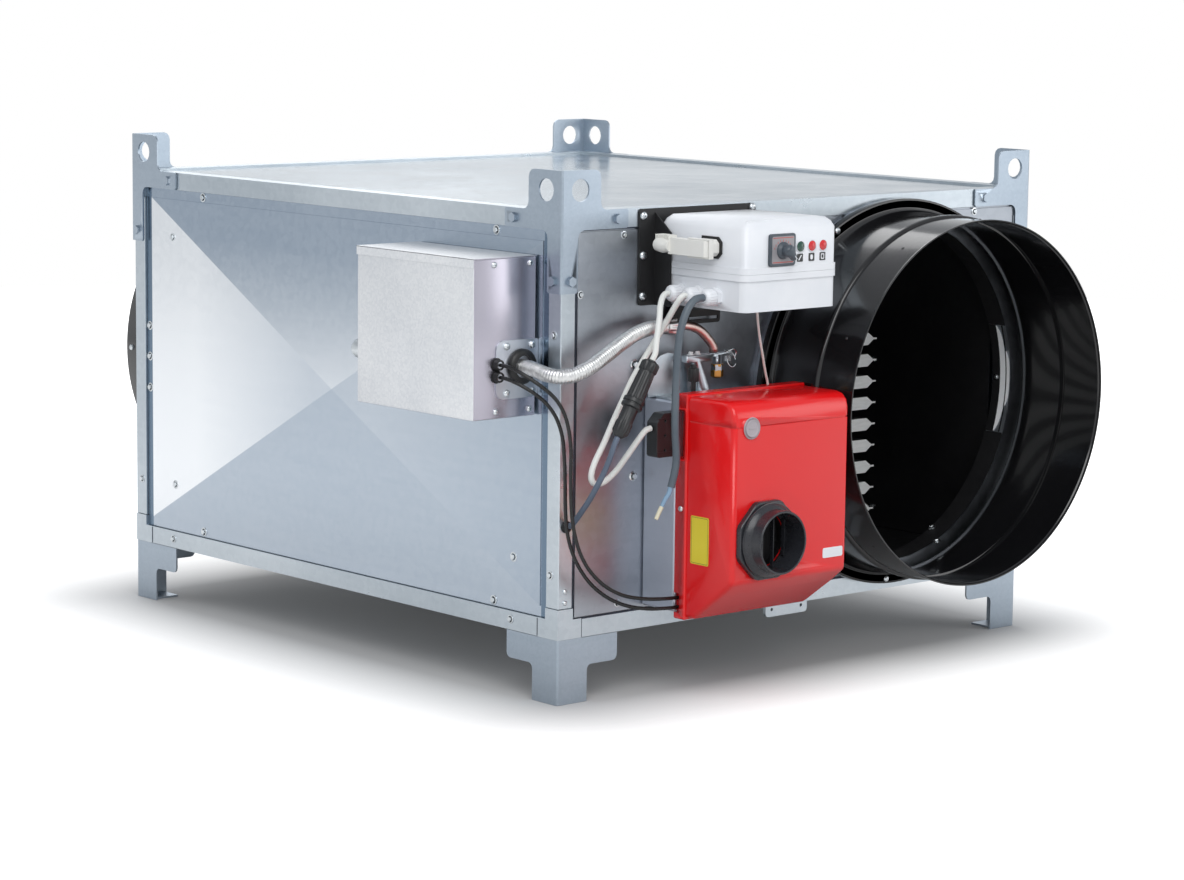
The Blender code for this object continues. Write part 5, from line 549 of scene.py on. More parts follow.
def rounded_outline(width, height, radius, steps=5):
    """The outline of a rounded rectangle round its middle."""
    outline = []
    for turn, (sx, sy) in enumerate(((1, 1), (-1, 1), (-1, -1), (1, -1))):
        for step in range(steps + 1):
            angle = radians(90) * (turn + step / steps)
            outline.append((sx * (width / 2 - radius) + radius * cos(angle),
                            sy * (height / 2 - radius) + radius * sin(angle)))
    return outline


def plate(cage, outline, place, thick, across=RIGHTWARD):
    """Add an upright plate with an outline in its own plane, standing out from a place."""
    out = across.cross(UPWARD)
    low = [cage.verts.new(place + (across * x + UPWARD * y) * MM) for x, y in outline]
    high = [cage.verts.new(v.co + out * thick * MM) for v in low]
    cage.faces.new(low[::-1])
    cage.faces.new(high)
    skin(cage, (low, high))


def plate_piece(name, look, outline, place, thick, across=RIGHTWARD, **how):
    """A piece of one plate."""
    cage = bmesh.new()
    plate(cage, outline, place, thick, across)
    keep(cage, name, look, **how)


def ribbon(cage, outline, inner, place, thick, across=RIGHTWARD):
    """Add a flat upright ring between two outlines of the same count."""
    out = across.cross(UPWARD)
    rows = []
    for line, rise in ((outline, 0), (outline, thick), (inner, thick), (inner, 0)):
        rows.append([cage.verts.new(place + (across * x + UPWARD * y + out * rise) * MM) for x, y in line])
    skin(cage, [*rows, rows[0]])


def smooth_line(points, spacing):
    """Evenly spaced points on a smooth curve through the given points."""
    ends = [points[0] * 2 - points[1], *points, points[-1] * 2 - points[-2]]
    fine = []
    samples = 24
    for i in range(1, len(ends) - 2):
        p0, p1, p2, p3 = ends[i - 1:i + 3]
        for step in range(samples):
            t = step / samples
            fine.append(0.5 * (2 * p1 + (p2 - p0) * t + (2 * p0 - 5 * p1 + 4 * p2 - p3) * t ** 2
                               + (3 * p1 - p0 - 3 * p2 + p3) * t ** 3))
    fine.append(points[-1])
    lengths = [0]
    for a, b in zip(fine, fine[1:]):
        lengths.append(lengths[-1] + (b - a).length)
    count = max(2, round(lengths[-1] / spacing))
    line = []
    index = 0
    for step in range(count + 1):
        target = lengths[-1] * step / count
        while index < len(fine) - 2 and lengths[index + 1] < target:
            index += 1
        stretch = lengths[index + 1] - lengths[index]
        line.append(fine[index].lerp(fine[index + 1], (target - lengths[index]) / stretch))
    return line


def smooth_route(route, spacing):
    """A smooth line through places in millimetres of the casing."""
    return smooth_line([at(*point) for point in route], spacing * MM)


def line_length(line):
    return sum((b - a).length for a, b in zip(line, line[1:]))


def swept(cage, line, radius_at, steps):
    """Add a round bar along a line. radius_at gives the radius in mm for a way along it and an angle."""
    side = (line[1] - line[0]).orthogonal()
    rings = []
    way = 0
    for i, point in enumerate(line):
        if i:
            way += (point - line[i - 1]).length / MM
        ahead = (line[min(i + 1, len(line) - 1)] - line[max(i - 1, 0)]).normalized()
        side = (side - ahead * side.dot(ahead)).normalized()
        other = ahead.cross(side)
        ring = []
        for step in range(steps):
            angle = tau * step / steps
            reach = radius_at(way, angle) * MM
            ring.append(cage.verts.new(point + (side * cos(angle) + other * sin(angle)) * reach))
        rings.append(ring)
    skin(cage, rings)
    cage.faces.new(rings[0][::-1])
    cage.faces.new(rings[-1])


# Leads, in millimetres of the casing
PALE_LEAD = (
    (166.6, -62, 540), (160, -62, 540), (152.3, -64, 534.5), (141.5, -71, 522), (133.8, -78, 505.2),
    (125.6, -84, 487.6), (118.5, -88, 466), (114.6, -90.2, 451.9), (108.7, -90, 442),
)
SENSOR_LEAD = (
    (41.8, -88, 327.6), (36, -87.8, 317.7), (30, -84.5, 297), (25, -78, 276), (21, -70, 258),
    (19, -60, 241), (18, -47, 223), (17, -33, 206), (16, -22, 193), (15.3, -12, 183), (15, -2.3, 179.8),
)
BURNER_LEAD = (
    (166.6, -101, 540), (161, -101, 540), (157, -97, 533), (155.5, -86, 518), (154, -73, 499),
    (148, -63, 479), (136, -57, 457), (118, -55, 433), (100.8, -53, 408.4), (83.3, -50, 375.4),
    (67, -48, 345), (50.7, -46, 313), (33, -45, 284), (26, -45, 264), (31, -45, 252), (48.2, -46, 251),
    (70.3, -50, 266), (88.5, -58, 291.5), (102, -67, 315), (113, -72, 330), (123, -73, 333),
)
MAINS_LEAD = (
    (166.6, -141.5, 540), (156, -141.5, 540), (145, -142, 536), (134, -142, 525), (125, -142, 508),
    (118, -142, 485), (114, -142, 455), (113, -141, 420), (113, -140, 385), (114, -139, 354),
    (116, -138, 328), (119, -137, 305), (120, -136, 286), (117, -135, 268), (112, -134, 249),
)
UPPER_LIMIT_LEAD = (
    (-80, 48.7, 434), (-79, 40, 434), (-77, 28, 432), (-71, 10, 425), (-60, -6, 414), (-46, -18, 401),
    (-30, -26, 384), (-17, -29, 363), (-8, -30, 337), (-3, -30, 305), (-2, -29, 268), (-1, -29, 232),
    (1, -30, 198), (6, -33, 166), (14, -38, 138), (28, -45, 112), (50, -54, 89), (78, -64, 73),
    (112, -73, 65), (145, -80, 62), (179, -84.4, 61),
)
LOWER_LIMIT_LEAD = (
    (-80, 48.7, 415), (-79, 40, 414.5), (-76, 27, 412), (-68, 11, 405), (-54, -3, 393), (-37, -11, 377),
    (-21, -15, 355), (-9, -16, 325), (-4, -16, 288), (-2, -16, 250), (-1, -16, 212), (1, -18, 178),
    (7, -22, 147), (17, -29, 119), (34, -38, 92), (58, -49, 70), (88, -60, 55), (120, -71, 48),
    (150, -79, 46), (179, -84.4, 46),
)
EARTH_LEAD = (
    (301, -121, 518.8), (302, -121, 508), (309, -116, 490), (317, -111, 471), (325, -107, 453),
    (333, -103, 436), (341, -99, 418), (349, -95, 402), (354.5, -92.5, 393), (357, -91, 386.2),
)
FOIL_HOSE = (
    (-31, 57.2, 428), (-31, 46, 428), (-32, 30, 427), (-33, 10, 424), (-32, -12, 421), (-22, -31, 420),
    (-3, -42, 424), (20, -46, 433), (45, -46, 445), (72, -44, 458), (98, -42, 470), (124, -41, 480),
    (150, -40, 485), (176, -40, 486), (198, -40, 486),
)
HOSE_RADIUS = 11.5
HOSE_RIB = 0.9
HOSE_PITCH = 4.3
HOSE_DENT = 0.55
CONNECTOR_TOP = (108.5, -90, 441.5)
CONNECTOR_FOOT = (42.1, -88, 328.1)
LEAD_SPACING = 4


def lead(node, route, radius, look):
    """A smooth sheathed lead in place of its plain solid."""
    line = smooth_route(route, LEAD_SPACING)
    data = bpy.data.curves.new(node + "_sheath", "CURVE")
    data.dimensions = "3D"
    data.bevel_depth = radius * MM
    data.bevel_resolution = 6
    data.use_fill_caps = True
    spline = data.splines.new("POLY")
    spline.points.add(len(line) - 1)
    for point, place in zip(spline.points, line):
        point.co = (*place, 1)
    spline.use_smooth = True
    piece = show(node + "_sheath", data)
    dress(piece, look)
    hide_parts(node)


def core_tips(line):
    """The bare cores that hang from the stripped end of the mains lead."""
    start = line[-1]
    route = [start + UPWARD * 4 * MM, start + Vector((-4, 0, -9)) * MM, at(102, -132.4, 231),
             at(92, -131, 214), at(85, -130, 201)]
    fine = smooth_line(route, 2 * MM)
    whole = line_length(fine)
    split = int(len(fine) * 0.62)
    passed = 0
    cores = []
    for name, look, part in (("inner", "blue_core", fine[:split + 1]), ("tip", "bare_core", fine[split:])):
        cage = bmesh.new()
        swept(cage, part, lambda way, angle: 4.2 - (way + passed) * MM / whole, 20)
        cores.append(keep(cage, "mains_core_" + name, look))
        passed = line_length(part) / MM
    return cores


def lead_connector():
    """The screwed connector between two leads: cap nut, fluted body, locking ring and tail nut."""
    top = at(*CONNECTOR_TOP)
    foot = at(*CONNECTOR_FOOT)
    length = (foot - top).length / MM
    profile = ((0, 0), (7, 0), (9, 1.5), (12.5, 3), (14.8, 5, 1.2), (15, 8, 1.2), (15, 17, 1.2),
               (14, 19, 0.8), (12.6, 19.6), (12.6, 21), (13, 22, 0.5), (13.8, 40, 1.4), (14.6, 62, 1.6),
               (15, 66, 0.4), (17, 67.5), (17, 73), (15.6, 74), (15.6, 75.4), (17, 76.4), (17, 80.5),
               (15.5, 82), (12.6, 82.6), (12.4, 84), (12.2, 104, 0.8), (12.8, 106), (13.6, 108, 1.4),
               (13.6, length - 9, 1.4), (12, length - 6, 0.8), (9, length - 2), (7, length), (0, length))
    return turned_piece("connector_shell", "black_plastic", profile, [top], foot - top, 96, 0, 16,
                        replaces=("lead_connector",))


def foil_hose():
    """The foil hose with its ribs wound round it and a few soft dents."""
    line = smooth_route(FOIL_HOSE, HOSE_PITCH / 6)

    def radius_at(way, angle):
        rib = abs(sin(pi * way / HOSE_PITCH + angle * 0.5))
        dent = noise.noise(Vector((way * 0.06, 2.2 * cos(angle), 2.2 * sin(angle)))) * HOSE_DENT
        return HOSE_RADIUS - HOSE_RIB + HOSE_RIB * 1.35 * rib + dent

    cage = bmesh.new()
    swept(cage, line, radius_at, 40)
    piece = keep(cage, "foil_hose_skin", "crinkled_foil", smooth=60, replaces=("foil_hose",))


def lay_leads():
    shell = lead_connector()
    lead("pale_lead", PALE_LEAD, 4.8, "pale_sheath")
    lead("sensor_lead", SENSOR_LEAD, 4.6, "blue_grey_sheath")
    lead("burner_lead", BURNER_LEAD, 4.8, "pale_sheath")
    cores = core_tips(smooth_route(MAINS_LEAD, LEAD_SPACING))
    lead("mains_lead", MAINS_LEAD, 6, "dark_sheath")
    lead("limit_lead_upper", UPPER_LIMIT_LEAD, 3, "black_sheath")
    lead("limit_lead_lower", LOWER_LIMIT_LEAD, 3, "black_sheath")
    lead("earth_lead", EARTH_LEAD, 2, "pale_sheath")
    foil_hose()


lay_leads()


# Screws, bolts and rivets
def cross_screw(cage, place, axis, radius, height):
    """Add a domed screw head with a sunk cross."""
    to_axis = turn_to(axis)
    steps = 16
    rings = []
    for reach, rise in ((1, 0), (1, 0.35), (0.86, 0.7), (0.62, 0.92), (0.46, 1)):
        rings.append([(reach, rise)] * steps)
    star = [(0.42 if step % 4 == 0 else 0.13, 1) for step in range(steps)]
    rings.append(star)
    rings.append([(reach * 0.8, 0.45) for reach, rise in star])
    made = []
    for ring in rings:
        row = []
        for step, (reach, rise) in enumerate(ring):
            angle = tau * step / steps + 0.4
            row.append(cage.verts.new(place + to_axis @ (Vector((
                reach * radius * cos(angle), reach * radius * sin(angle), rise * height)) * MM)))
        made.append(row)
    skin(cage, made)
    cage.faces.new(made[-1])
    cage.faces.new(made[0][::-1])


def hex_screw(cage, place, axis, radius, height):
    """Add a hexagon head on a round washer flange."""
    turned(cage, ((0, 0), (radius, 0), (radius, 0.8), (radius * 0.72, height * 0.3)), place, axis)
    turned(cage, ((radius * 0.62, height * 0.2), (radius * 0.62, height * 0.85), (radius * 0.52, height),
                  (0, height)), place, axis, 6, 0.3)


def screws(name, places, axis, radius=5.5, height=3.4, kind=cross_screw, look="bright_bolt"):
    """A piece with a screw head at each place."""
    cage = bmesh.new()
    for place in places:
        kind(cage, at(*place), axis, radius, height)
    keep(cage, name, look, smooth=30)


def on_circle(middle, radius, depth, degrees):
    """Places on an upright circle, in millimetres of the casing."""
    places = []
    for turn in degrees:
        out = outward(turn) * radius
        places.append((middle[0] + out.x, depth, middle[2] + out.z))
    return places


def casing_screws():
    left = ((3.5, 1056, 555), (3.5, 1051, 114.5), (3.5, 112.5, 117), (5, 965, 631), (5, 163, 631),
            (5, 966, 40), (5, 163, 40), (5, 1131, 392), (5, 1131, 337), (5, 1131, 281))
    screws("left_panel_screws", left, LEFTWARD, 8, 4.2, hex_screw)
    screws("left_frame_screws", ((0, 1054, 16), (0, 115, 17), (0, 1152, 113), (0, 17, 478), (0, 20, 101)),
           LEFTWARD, 7, 4, hex_screw)
    dome = ((0, 13.5), (5, 12.9), (10, 10.4), (14, 6.4), (16.4, 2.6), (17, 0))
    turned_piece("left_panel_dome", "bright_bolt", dome, [at(3, 513, 410)], LEFTWARD, 40,
                 slot="galvanised_sheet")
    right = [(CASING_WIDTH - x, y, z) for x, y, z in left]
    screws("right_panel_screws", right, RIGHTWARD, 8, 4.2, hex_screw)
    front = [(x, 0, z) for x, z in ((127.5, 628.7), (39, 540), (123, 46), (929, 632), (1022, 60), (560, 44))]
    screws("front_panel_screws", front, FORWARD, 6.5, 4, hex_screw)
    screws("front_mount_bolts", ((152, 0, 424), (153, 0, 246)), FORWARD, 8, 6, hex_screw)
    screws("front_frame_screws", ((14, 0, 76), (14, 0, 58), (1046, 0, 300), (1046, 0, 120)), FORWARD, 4, 2.6)
    rear = [(x, CASING_LENGTH, z) for x in (15, 1045) for z in (120, 300, 480)]
    screws("rear_frame_screws", rear, BACKWARD, 7, 4, hex_screw)


SEAM_HEIGHT = 0.35
SEAM_WIDTH = 1.4


def casing_seams():
    """Dark joint lines, painted shade in the gaps: around the front sheet and at the corner pieces of the
    bottom frame.
    """
    seams = [((28, -SEAM_HEIGHT, 31), (30.6, 1, 640)), ((28, -SEAM_HEIGHT, 29), (1031, 1, 31.4)),
             ((31, -SEAM_HEIGHT, 638.6), (155, 1, 640.6))]
    for x in (48, CASING_WIDTH - 49.4):
        for front, rear in ((-SEAM_HEIGHT, 1), (CASING_LENGTH - 1, CASING_LENGTH + SEAM_HEIGHT)):
            seams.append(((x, front, 0.6), (x + SEAM_WIDTH, rear, 29)))
    for y in (49, CASING_LENGTH - 50.4):
        for left, right in ((-SEAM_HEIGHT, 1), (CASING_WIDTH - 1, CASING_WIDTH + SEAM_HEIGHT)):
            seams.append(((left, y, 0.6), (right, y + SEAM_WIDTH, 29)))
    blocks("casing_seams", "seam_shade", seams)


casing_seams()
casing_screws()


# Smoothly shaded copies of the faceted solids
MOVING = ("thermostat_plug", "locking_clip", "fan_impeller")
# The angle in degrees from which a solid's edges stay sharp and, where they are softened, how far
SOFTENED = {
    "burner_cover": (32,), "control_box": (32,), "control_box_lid": (42,), "switch_plate": (38, 0.8),
    "thermostat_plug": (40, 0.8), "locking_clip": (40, 0.4), "burner_plug": (38, 0.8), "arch_pipe": (60,),
    "hose_grommet": (60,), "pipe_stand": (40,), "thermostat_box": (40, 0.6), "burner_mount": (38, 1),
    "fan_motor": (40,), "fan_impeller": (50,), "combustion_chamber": (40,),
}


def softened(node, angle, edge=0):
    """A smoothly shaded copy of a solid in place of the faceted one."""
    cage = bmesh.new()
    cage.from_mesh(NODES[node].data)
    bmesh.ops.remove_doubles(cage, verts=cage.verts, dist=0.00001)
    bmesh.ops.dissolve_limit(cage, angle_limit=radians(0.4), verts=cage.verts, edges=cage.edges)
    body = node if node in MOVING else "casing"
    keep(cage, node + "_dressed", LOOK_OF[node], body, bevel=edge, smooth=angle, replaces=(node,))


def soften_nodes():
    for node, numbers in SOFTENED.items():
        softened(node, *numbers)
    for corner in CORNERS:
        softened("lifting_bracket_" + corner, 30)
        softened("foot_" + corner, 30)
    for lamp in ("green", "red_left", "red_right"):
        softened("lamp_" + lamp, 50)


soften_nodes()


# Warm air outlet
OUTLET = (733, 0, 338)
DUCT_RADIUS = 300
DUCT_WALL = 2
BORE_RADIUS = 288.4


def in_bore(depth):
    """The place on the outlet's axis at a depth from the casing's front."""
    return at(OUTLET[0], depth, OUTLET[2])


def make_duct():
    place = at(*OUTLET)
    flange = [(DUCT_RADIUS + 4, 119.4), (DUCT_RADIUS + 4, 117), (DUCT_RADIUS, 115.6)]
    for step in range(13):
        turn = radians(90) * step / 12
        flange.append((DUCT_RADIUS + 8 * (1 - cos(turn)), 58 - 34 * sin(turn)))
    flange += [(308.6, 22.6), (310, 22), (323.6, 22), (324.7, 21.4), (325, 20.4), (325, 9.6)]
    hollow_piece("outlet_throat", "black_gloss", flange, DUCT_WALL, place, FORWARD, 160, smooth=40,
                 replaces=("outlet_flange",))
    collar = [(302, 205), (302.2, 203), (301.6, 201.6), (DUCT_RADIUS, 200), (DUCT_RADIUS, 126.6),
              (301.6, 125.8), (303.2, 124.2), (304, 122.4), (304, 120.3)]
    hollow_piece("outlet_sleeve", "black_gloss", collar, DUCT_WALL, place, FORWARD, 160, smooth=40,
                 replaces=("outlet_collar",))
    around = on_circle(OUTLET, 317, -22, [131 - 45 * step for step in range(2, 8)])
    screws("outlet_flange_screws", ((577, -22, 616), (543, -22, 590), *around), FORWARD)
    cage = bmesh.new()
    for step in range(10):
        out = outward(36 * step + 12)
        foot = in_bore(-164) + out * DUCT_RADIUS * MM
        turned(cage, ((0, 1.3), (1.4, 1.1), (2.6, 0.2), (2.8, -0.4)), foot, out, 10)
    keep(cage, "sleeve_rivets", "black_gloss")


def make_liner():
    """Black sheets that line the hot air side behind the outlet as painted shade, with their screws."""
    sheets = [((1024, 42, 36), (1026, 755, 632))]
    for z in (33, 633):
        sheets.append(((520, 42, z), (1024, 755, z + 2)))
    blocks("hot_side_shade_liner", "black_liner", sheets)
    cage = bmesh.new()
    for x, y in ((1010, 120), (1000, 300), (760, 120), (890, 430)):
        hex_screw(cage, at(x, y, 35), UPWARD, 7, 5)
    for y in (320, 580):
        hex_screw(cage, at(1024, y, 338), LEFTWARD, 6, 4)
    keep(cage, "liner_screws", "bright_bolt", smooth=30)


def arc_sheet(cage, wall, front, rear, low, high, steps, taper=0):
    """Add a sheet that lines the bore between two depths and angles. A taper makes its ends narrower."""
    rings = []
    for step in range(steps + 1):
        out = outward(low + (high - low) * step / steps)
        edge = front + (rear - front) * taper * abs(2 * step / steps - 1) ** 5
        ring = []
        for inset, depth in ((0, edge), (0, rear), (wall, rear), (wall, edge)):
            ring.append(cage.verts.new(in_bore(depth) + out * (BORE_RADIUS - inset) * MM))
        rings.append(ring)
    skin(cage, rings)
    cage.faces.new(rings[0][::-1])
    cage.faces.new(rings[-1])


def make_bore_lining():
    """The black lining of the opening as painted shade, with a gap at its right cheek where the bare sheet
    shows, painted near white as light.
    """
    cage = bmesh.new()
    arc_sheet(cage, 0.8, -8.8, 29.8, 19, 341, 144)
    arc_sheet(cage, 0.8, 12.6, 29.8, -18.8, 18.8, 20)
    arc_sheet(cage, 0.8, -2.2, -0.2, -18.8, 18.8, 20)
    keep(cage, "bore_shade_lining", "black_liner")
    cage = bmesh.new()
    # Painted light: the bare sheet of the cheek is near white.
    arc_sheet(cage, 0.6, 0, 12.4, -18.6, 18.6, 32, 0.85)
    arc_sheet(cage, 0.6, -8.6, -2.4, -9.5, 9.5, 24, 0.85)
    keep(cage, "bore_cheek", "bright_sheet")
    cage = bmesh.new()
    for degrees, depth in ((-56, 190), (-61, 26), (-68, -16)):
        out = outward(degrees)
        hex_screw(cage, in_bore(depth) + out * (BORE_RADIUS - 0.8) * MM, -out, 6.5, 4.5)
    hex_screw(cage, in_bore(20) + RIGHTWARD * (BORE_RADIUS - 1) * MM, LEFTWARD, 4.5, 3)
    keep(cage, "bore_screws", "bright_bolt", smooth=30)


make_duct()
make_liner()
make_bore_lining()


# Burner
COVER_FACE = -207
INTAKE = (244.6, 163.7)
INTAKE_BORE = 46.5
BUTTON = (211, 341)
LABEL = (174.8, -133.5, 158.5)


def soft_octagon(angle):
    """The share of a circle's radius that an octagon with rounded corners has at an angle."""
    off = (angle + radians(22.5)) % radians(45) - radians(22.5)
    return min(0.93 / cos(off), 0.985)


def make_intake():
    """The air intake: an octagonal foot, a stepped tube with eight fins and upright bars behind it."""
    x, z = INTAKE
    place = at(x, COVER_FACE - 0.3, z)
    cage = bmesh.new()
    turned(cage, ((INTAKE_BORE, 0), (66, 0), (66, 8), (64.8, 9.6), (61, 10.2), (58.6, 10)), place, FORWARD,
           96, shape=soft_octagon)
    turned(cage, ((58.4, 9), (58.4, 13.5), (57.8, 15), (51.8, 20.6), (50.6, 21.4), (50.2, 23), (50, 40.6),
                  (49.2, 41.7), (47.4, 41.7), (INTAKE_BORE, 41), (INTAKE_BORE, 0.4)), place, FORWARD, 96)
    turned(cage, ((58.6, 12.2), (59.8, 12.6), (59.8, 13.8), (58.4, 14.2)), place, FORWARD, 96)
    for step in range(8):
        out = outward(22.5 + 45 * step)
        across = FORWARD.cross(out)
        foot = place + out * 52 * MM + FORWARD * 16.5 * MM
        solid(cage, [foot + (out * reach + FORWARD * rise + across * side) * MM
                     for reach, rise in ((-2, 0), (7.4, -4.6), (6, -1.6), (-2, 5.6)) for side in (-1.2, 1.2)],
              ((0, 2, 4, 6), (1, 7, 5, 3), (0, 1, 3, 2), (2, 3, 5, 4), (4, 5, 7, 6), (6, 7, 1, 0)))
    for i in range(4):
        offset = INTAKE_BORE * ((2 * i + 1) / 4 - 1)
        half = sqrt(INTAKE_BORE ** 2 - (abs(offset) + 2) ** 2)
        bar = x + offset
        block(cage, (bar - 0.9, COVER_FACE - 7.5, z - half), (bar + 0.9, COVER_FACE - 0.8, z + half))
    keep(cage, "air_intake", "intake_plastic", smooth=32, replaces=("burner_air_intake",))
    hollow_piece("intake_red_seat", "red_gloss", [(44.6, -5), (44.6, -6.2)], 0.9, place, FORWARD, 64)
    # Painted shade: a near black cup deep in the intake, behind the bars.
    throat = ((0, -22), (46.2, -22), (46.2, -0.5), (44.8, -0.5), (44.8, -20.5), (0, -20.5))
    turned_piece("intake_shade_throat", "black_liner", throat, [place], FORWARD, 64, slot="black_plastic")


def make_button():
    """The reset cap: a shallow dish with a raised rim and a raised bar, in a bezel."""
    x, z = BUTTON
    body = "burner_reset_button"
    cap = ((0, -5), (14.4, -5), (14.4, 2), (13.6, 2.7), (12.2, 2.7), (11.4, 1.9), (4, 1.6), (0, 1.6))
    turned_piece("reset_cap", "button_plastic", cap, [at(x, COVER_FACE - 1.5, z)], FORWARD, 64, body=body,
                 replaces=("burner_reset_button",))
    bar = ((x - 7.4, COVER_FACE - 4, z - 1.4), (x + 7.4, COVER_FACE - 2.6, z + 1.4))
    blocks("reset_cap_bar", "button_plastic", [bar], body=body, bevel=0.5)
    bezel = ((15.1, 1), (17.2, 1), (17.2, 2.2), (16.4, 3), (15.6, 3), (15.1, 2.2), (15.1, 1))
    turned_piece("reset_bezel", "button_plastic", bezel, [at(x, COVER_FACE, z)], FORWARD, 64)


def make_burner_trim():
    label = at(*LABEL)
    plate_piece("label_plate", "yellow_plate", rounded_outline(41, 76, 3), label, 0.5, FORWARD, bevel=0.15)
    cage = bmesh.new()
    ribbon(cage, rounded_outline(37.5, 72.5, 2), rounded_outline(36.3, 71.3, 1.6),
           label + LEFTWARD * 0.5 * MM, 0.08, FORWARD)
    keep(cage, "label_border", "black_plastic")
    plate_piece("blank_badge", "white_plastic", rounded_outline(44, 16, 3), at(394, COVER_FACE, 128), 0.8,
                bevel=0.3)
    cage = bmesh.new()
    for x, side in ((172, LEFTWARD), (429, RIGHTWARD)):
        cross_screw(cage, at(x, -92, 204), side, 4.6, 2.8)
    keep(cage, "cover_screws", "bright_bolt", smooth=30)
    cage = bmesh.new()
    ribbon(cage, rounded_outline(28, 84, 7), rounded_outline(22, 78, 4.5), at(172, -90, 321.5), 2.2, FORWARD)
    keep(cage, "plug_recess_frame", "red_gloss", bevel=0.7)


def make_pin_plug_trim():
    cage = bmesh.new()
    for z in (341, 321, 301):
        turned(cage, ((3.4, 0), (3.4, 0.5), (2.4, 0.6), (2.2, 0.1), (2.2, 0)), at(157, -85, z), FORWARD, 16)
    for z in (348, 295):
        block(cage, (127.5, -84.8, z - 0.6), (170, -85.5, z + 0.6))
    keep(cage, "pin_plug_trim", "black_plastic")


make_intake()
make_button()
make_burner_trim()
make_pin_plug_trim()


# Control box
BOX_FACE = -204
BOX_SIDE = 195
LAMP_PLACES = (311.5, 336.5, 360.5)
LAMP_HEIGHT = 617
KNOB = (269.5, 613)
SIGN_HEIGHT = 599.5
GLAND_PLACES = (-62, -101, -141.5)
GLAND_HEIGHT = 540


def make_switch_trim():
    """The switch's face plate, with a line above and below and ticks round the knob."""
    place = at(269.75, BOX_FACE - 5.3, 614)
    plate_piece("switch_face", "switch_face", rounded_outline(47, 42, 2.5), place, 0.3)
    front = BOX_FACE - 5.8
    rear = BOX_FACE - 5.55
    marks = [((248, front, 632.2), (291, rear, 633.4)), ((248, front, 594.2), (291, rear, 595.6))]
    for step in range(9):
        turn = radians(20 + 17.5 * step)
        x = KNOB[0] + 19.5 * cos(turn)
        z = KNOB[1] - 2 + 17.5 * sin(turn)
        marks.append(((x - 0.5, front, z - 1.6), (x + 0.5, rear, z + 1.6)))
    blocks("switch_scale", "red_print", marks)


HANDLE_LENGTH = 24.6


def make_knob():
    """The selector's round foot, its handle with a bulb over the shaft, and the white pointer."""
    foot = at(KNOB[0], BOX_FACE - 5.6, KNOB[1])
    ahead = outward(-48)
    cage = bmesh.new()
    turned(cage, ((0, 0), (13.5, 0), (13.5, 1.6), (12, 3.2), (9.5, 4.4), (9, 6), (0, 6)), foot, FORWARD, 48)
    bulb = ((0, 22), (4, 21.6), (7.6, 20), (9.8, 16.5), (10.2, 12), (9.6, 8), (8.6, 4.6))
    turned(cage, bulb, foot, FORWARD, 48)
    line = [foot + (ahead * reach + FORWARD * rise) * MM
            for reach, rise in ((-6, 14), (0, 14.5), (6, 14.5), (12, 14), (17, 13), (18.6, 12.6))]

    def handle(way, angle):
        share = min(1, way / HANDLE_LENGTH)
        return (8.4 - 3.4 * share) * sqrt(max(0.02, 1 - max(0, (share - 0.84) / 0.16) ** 2))

    swept(cage, smooth_line(line, 1.2 * MM)[:-1], handle, 28)
    keep(cage, "selector_handle", "grey_plastic", "selector_knob", smooth=50, replaces=("selector_knob",))
    cage = bmesh.new()
    mark = foot + (ahead * 11 + FORWARD * 20.6) * MM
    across = ahead.cross(FORWARD)
    solid(cage, [mark + (ahead * a + across * b + FORWARD * c) * MM
                 for a in (-4, 5) for b in (-0.6, 0.6) for c in (-1.4, 0)])
    keep(cage, "selector_pointer", "white_plastic", "selector_knob", "grey_plastic")


make_knob()


def make_lamp_trim():
    """A bezel round each lamp, and under each a black sign with a plain white mark."""
    turned_piece("lamp_bezels", "white_plastic", ((8, 0), (9.3, 0), (9.3, 1.2), (8.6, 1.8), (8, 1.6), (8, 0)),
                 [at(x, BOX_FACE, LAMP_HEIGHT) for x in LAMP_PLACES], FORWARD, 32)
    cage = bmesh.new()
    for x in LAMP_PLACES:
        plate(cage, rounded_outline(12.5, 12.5, 1.2), at(x, BOX_FACE, SIGN_HEIGHT), 0.5)
    keep(cage, "lamp_signs", "black_plastic")
    cage = bmesh.new()
    green, first_red, second_red = [at(x, BOX_FACE - 0.5, SIGN_HEIGHT) for x in LAMP_PLACES]
    plate(cage, ((-4, -4), (-1.6, -4), (4, 4), (1.6, 4)), green, 0.12)
    plate(cage, rounded_outline(5.5, 8, 2.6), first_red, 0.12)
    ribbon(cage, rounded_outline(7, 8.4, 1), rounded_outline(4.2, 5.6, 0.6), second_red, 0.12)
    keep(cage, "lamp_sign_marks", "white_plastic")


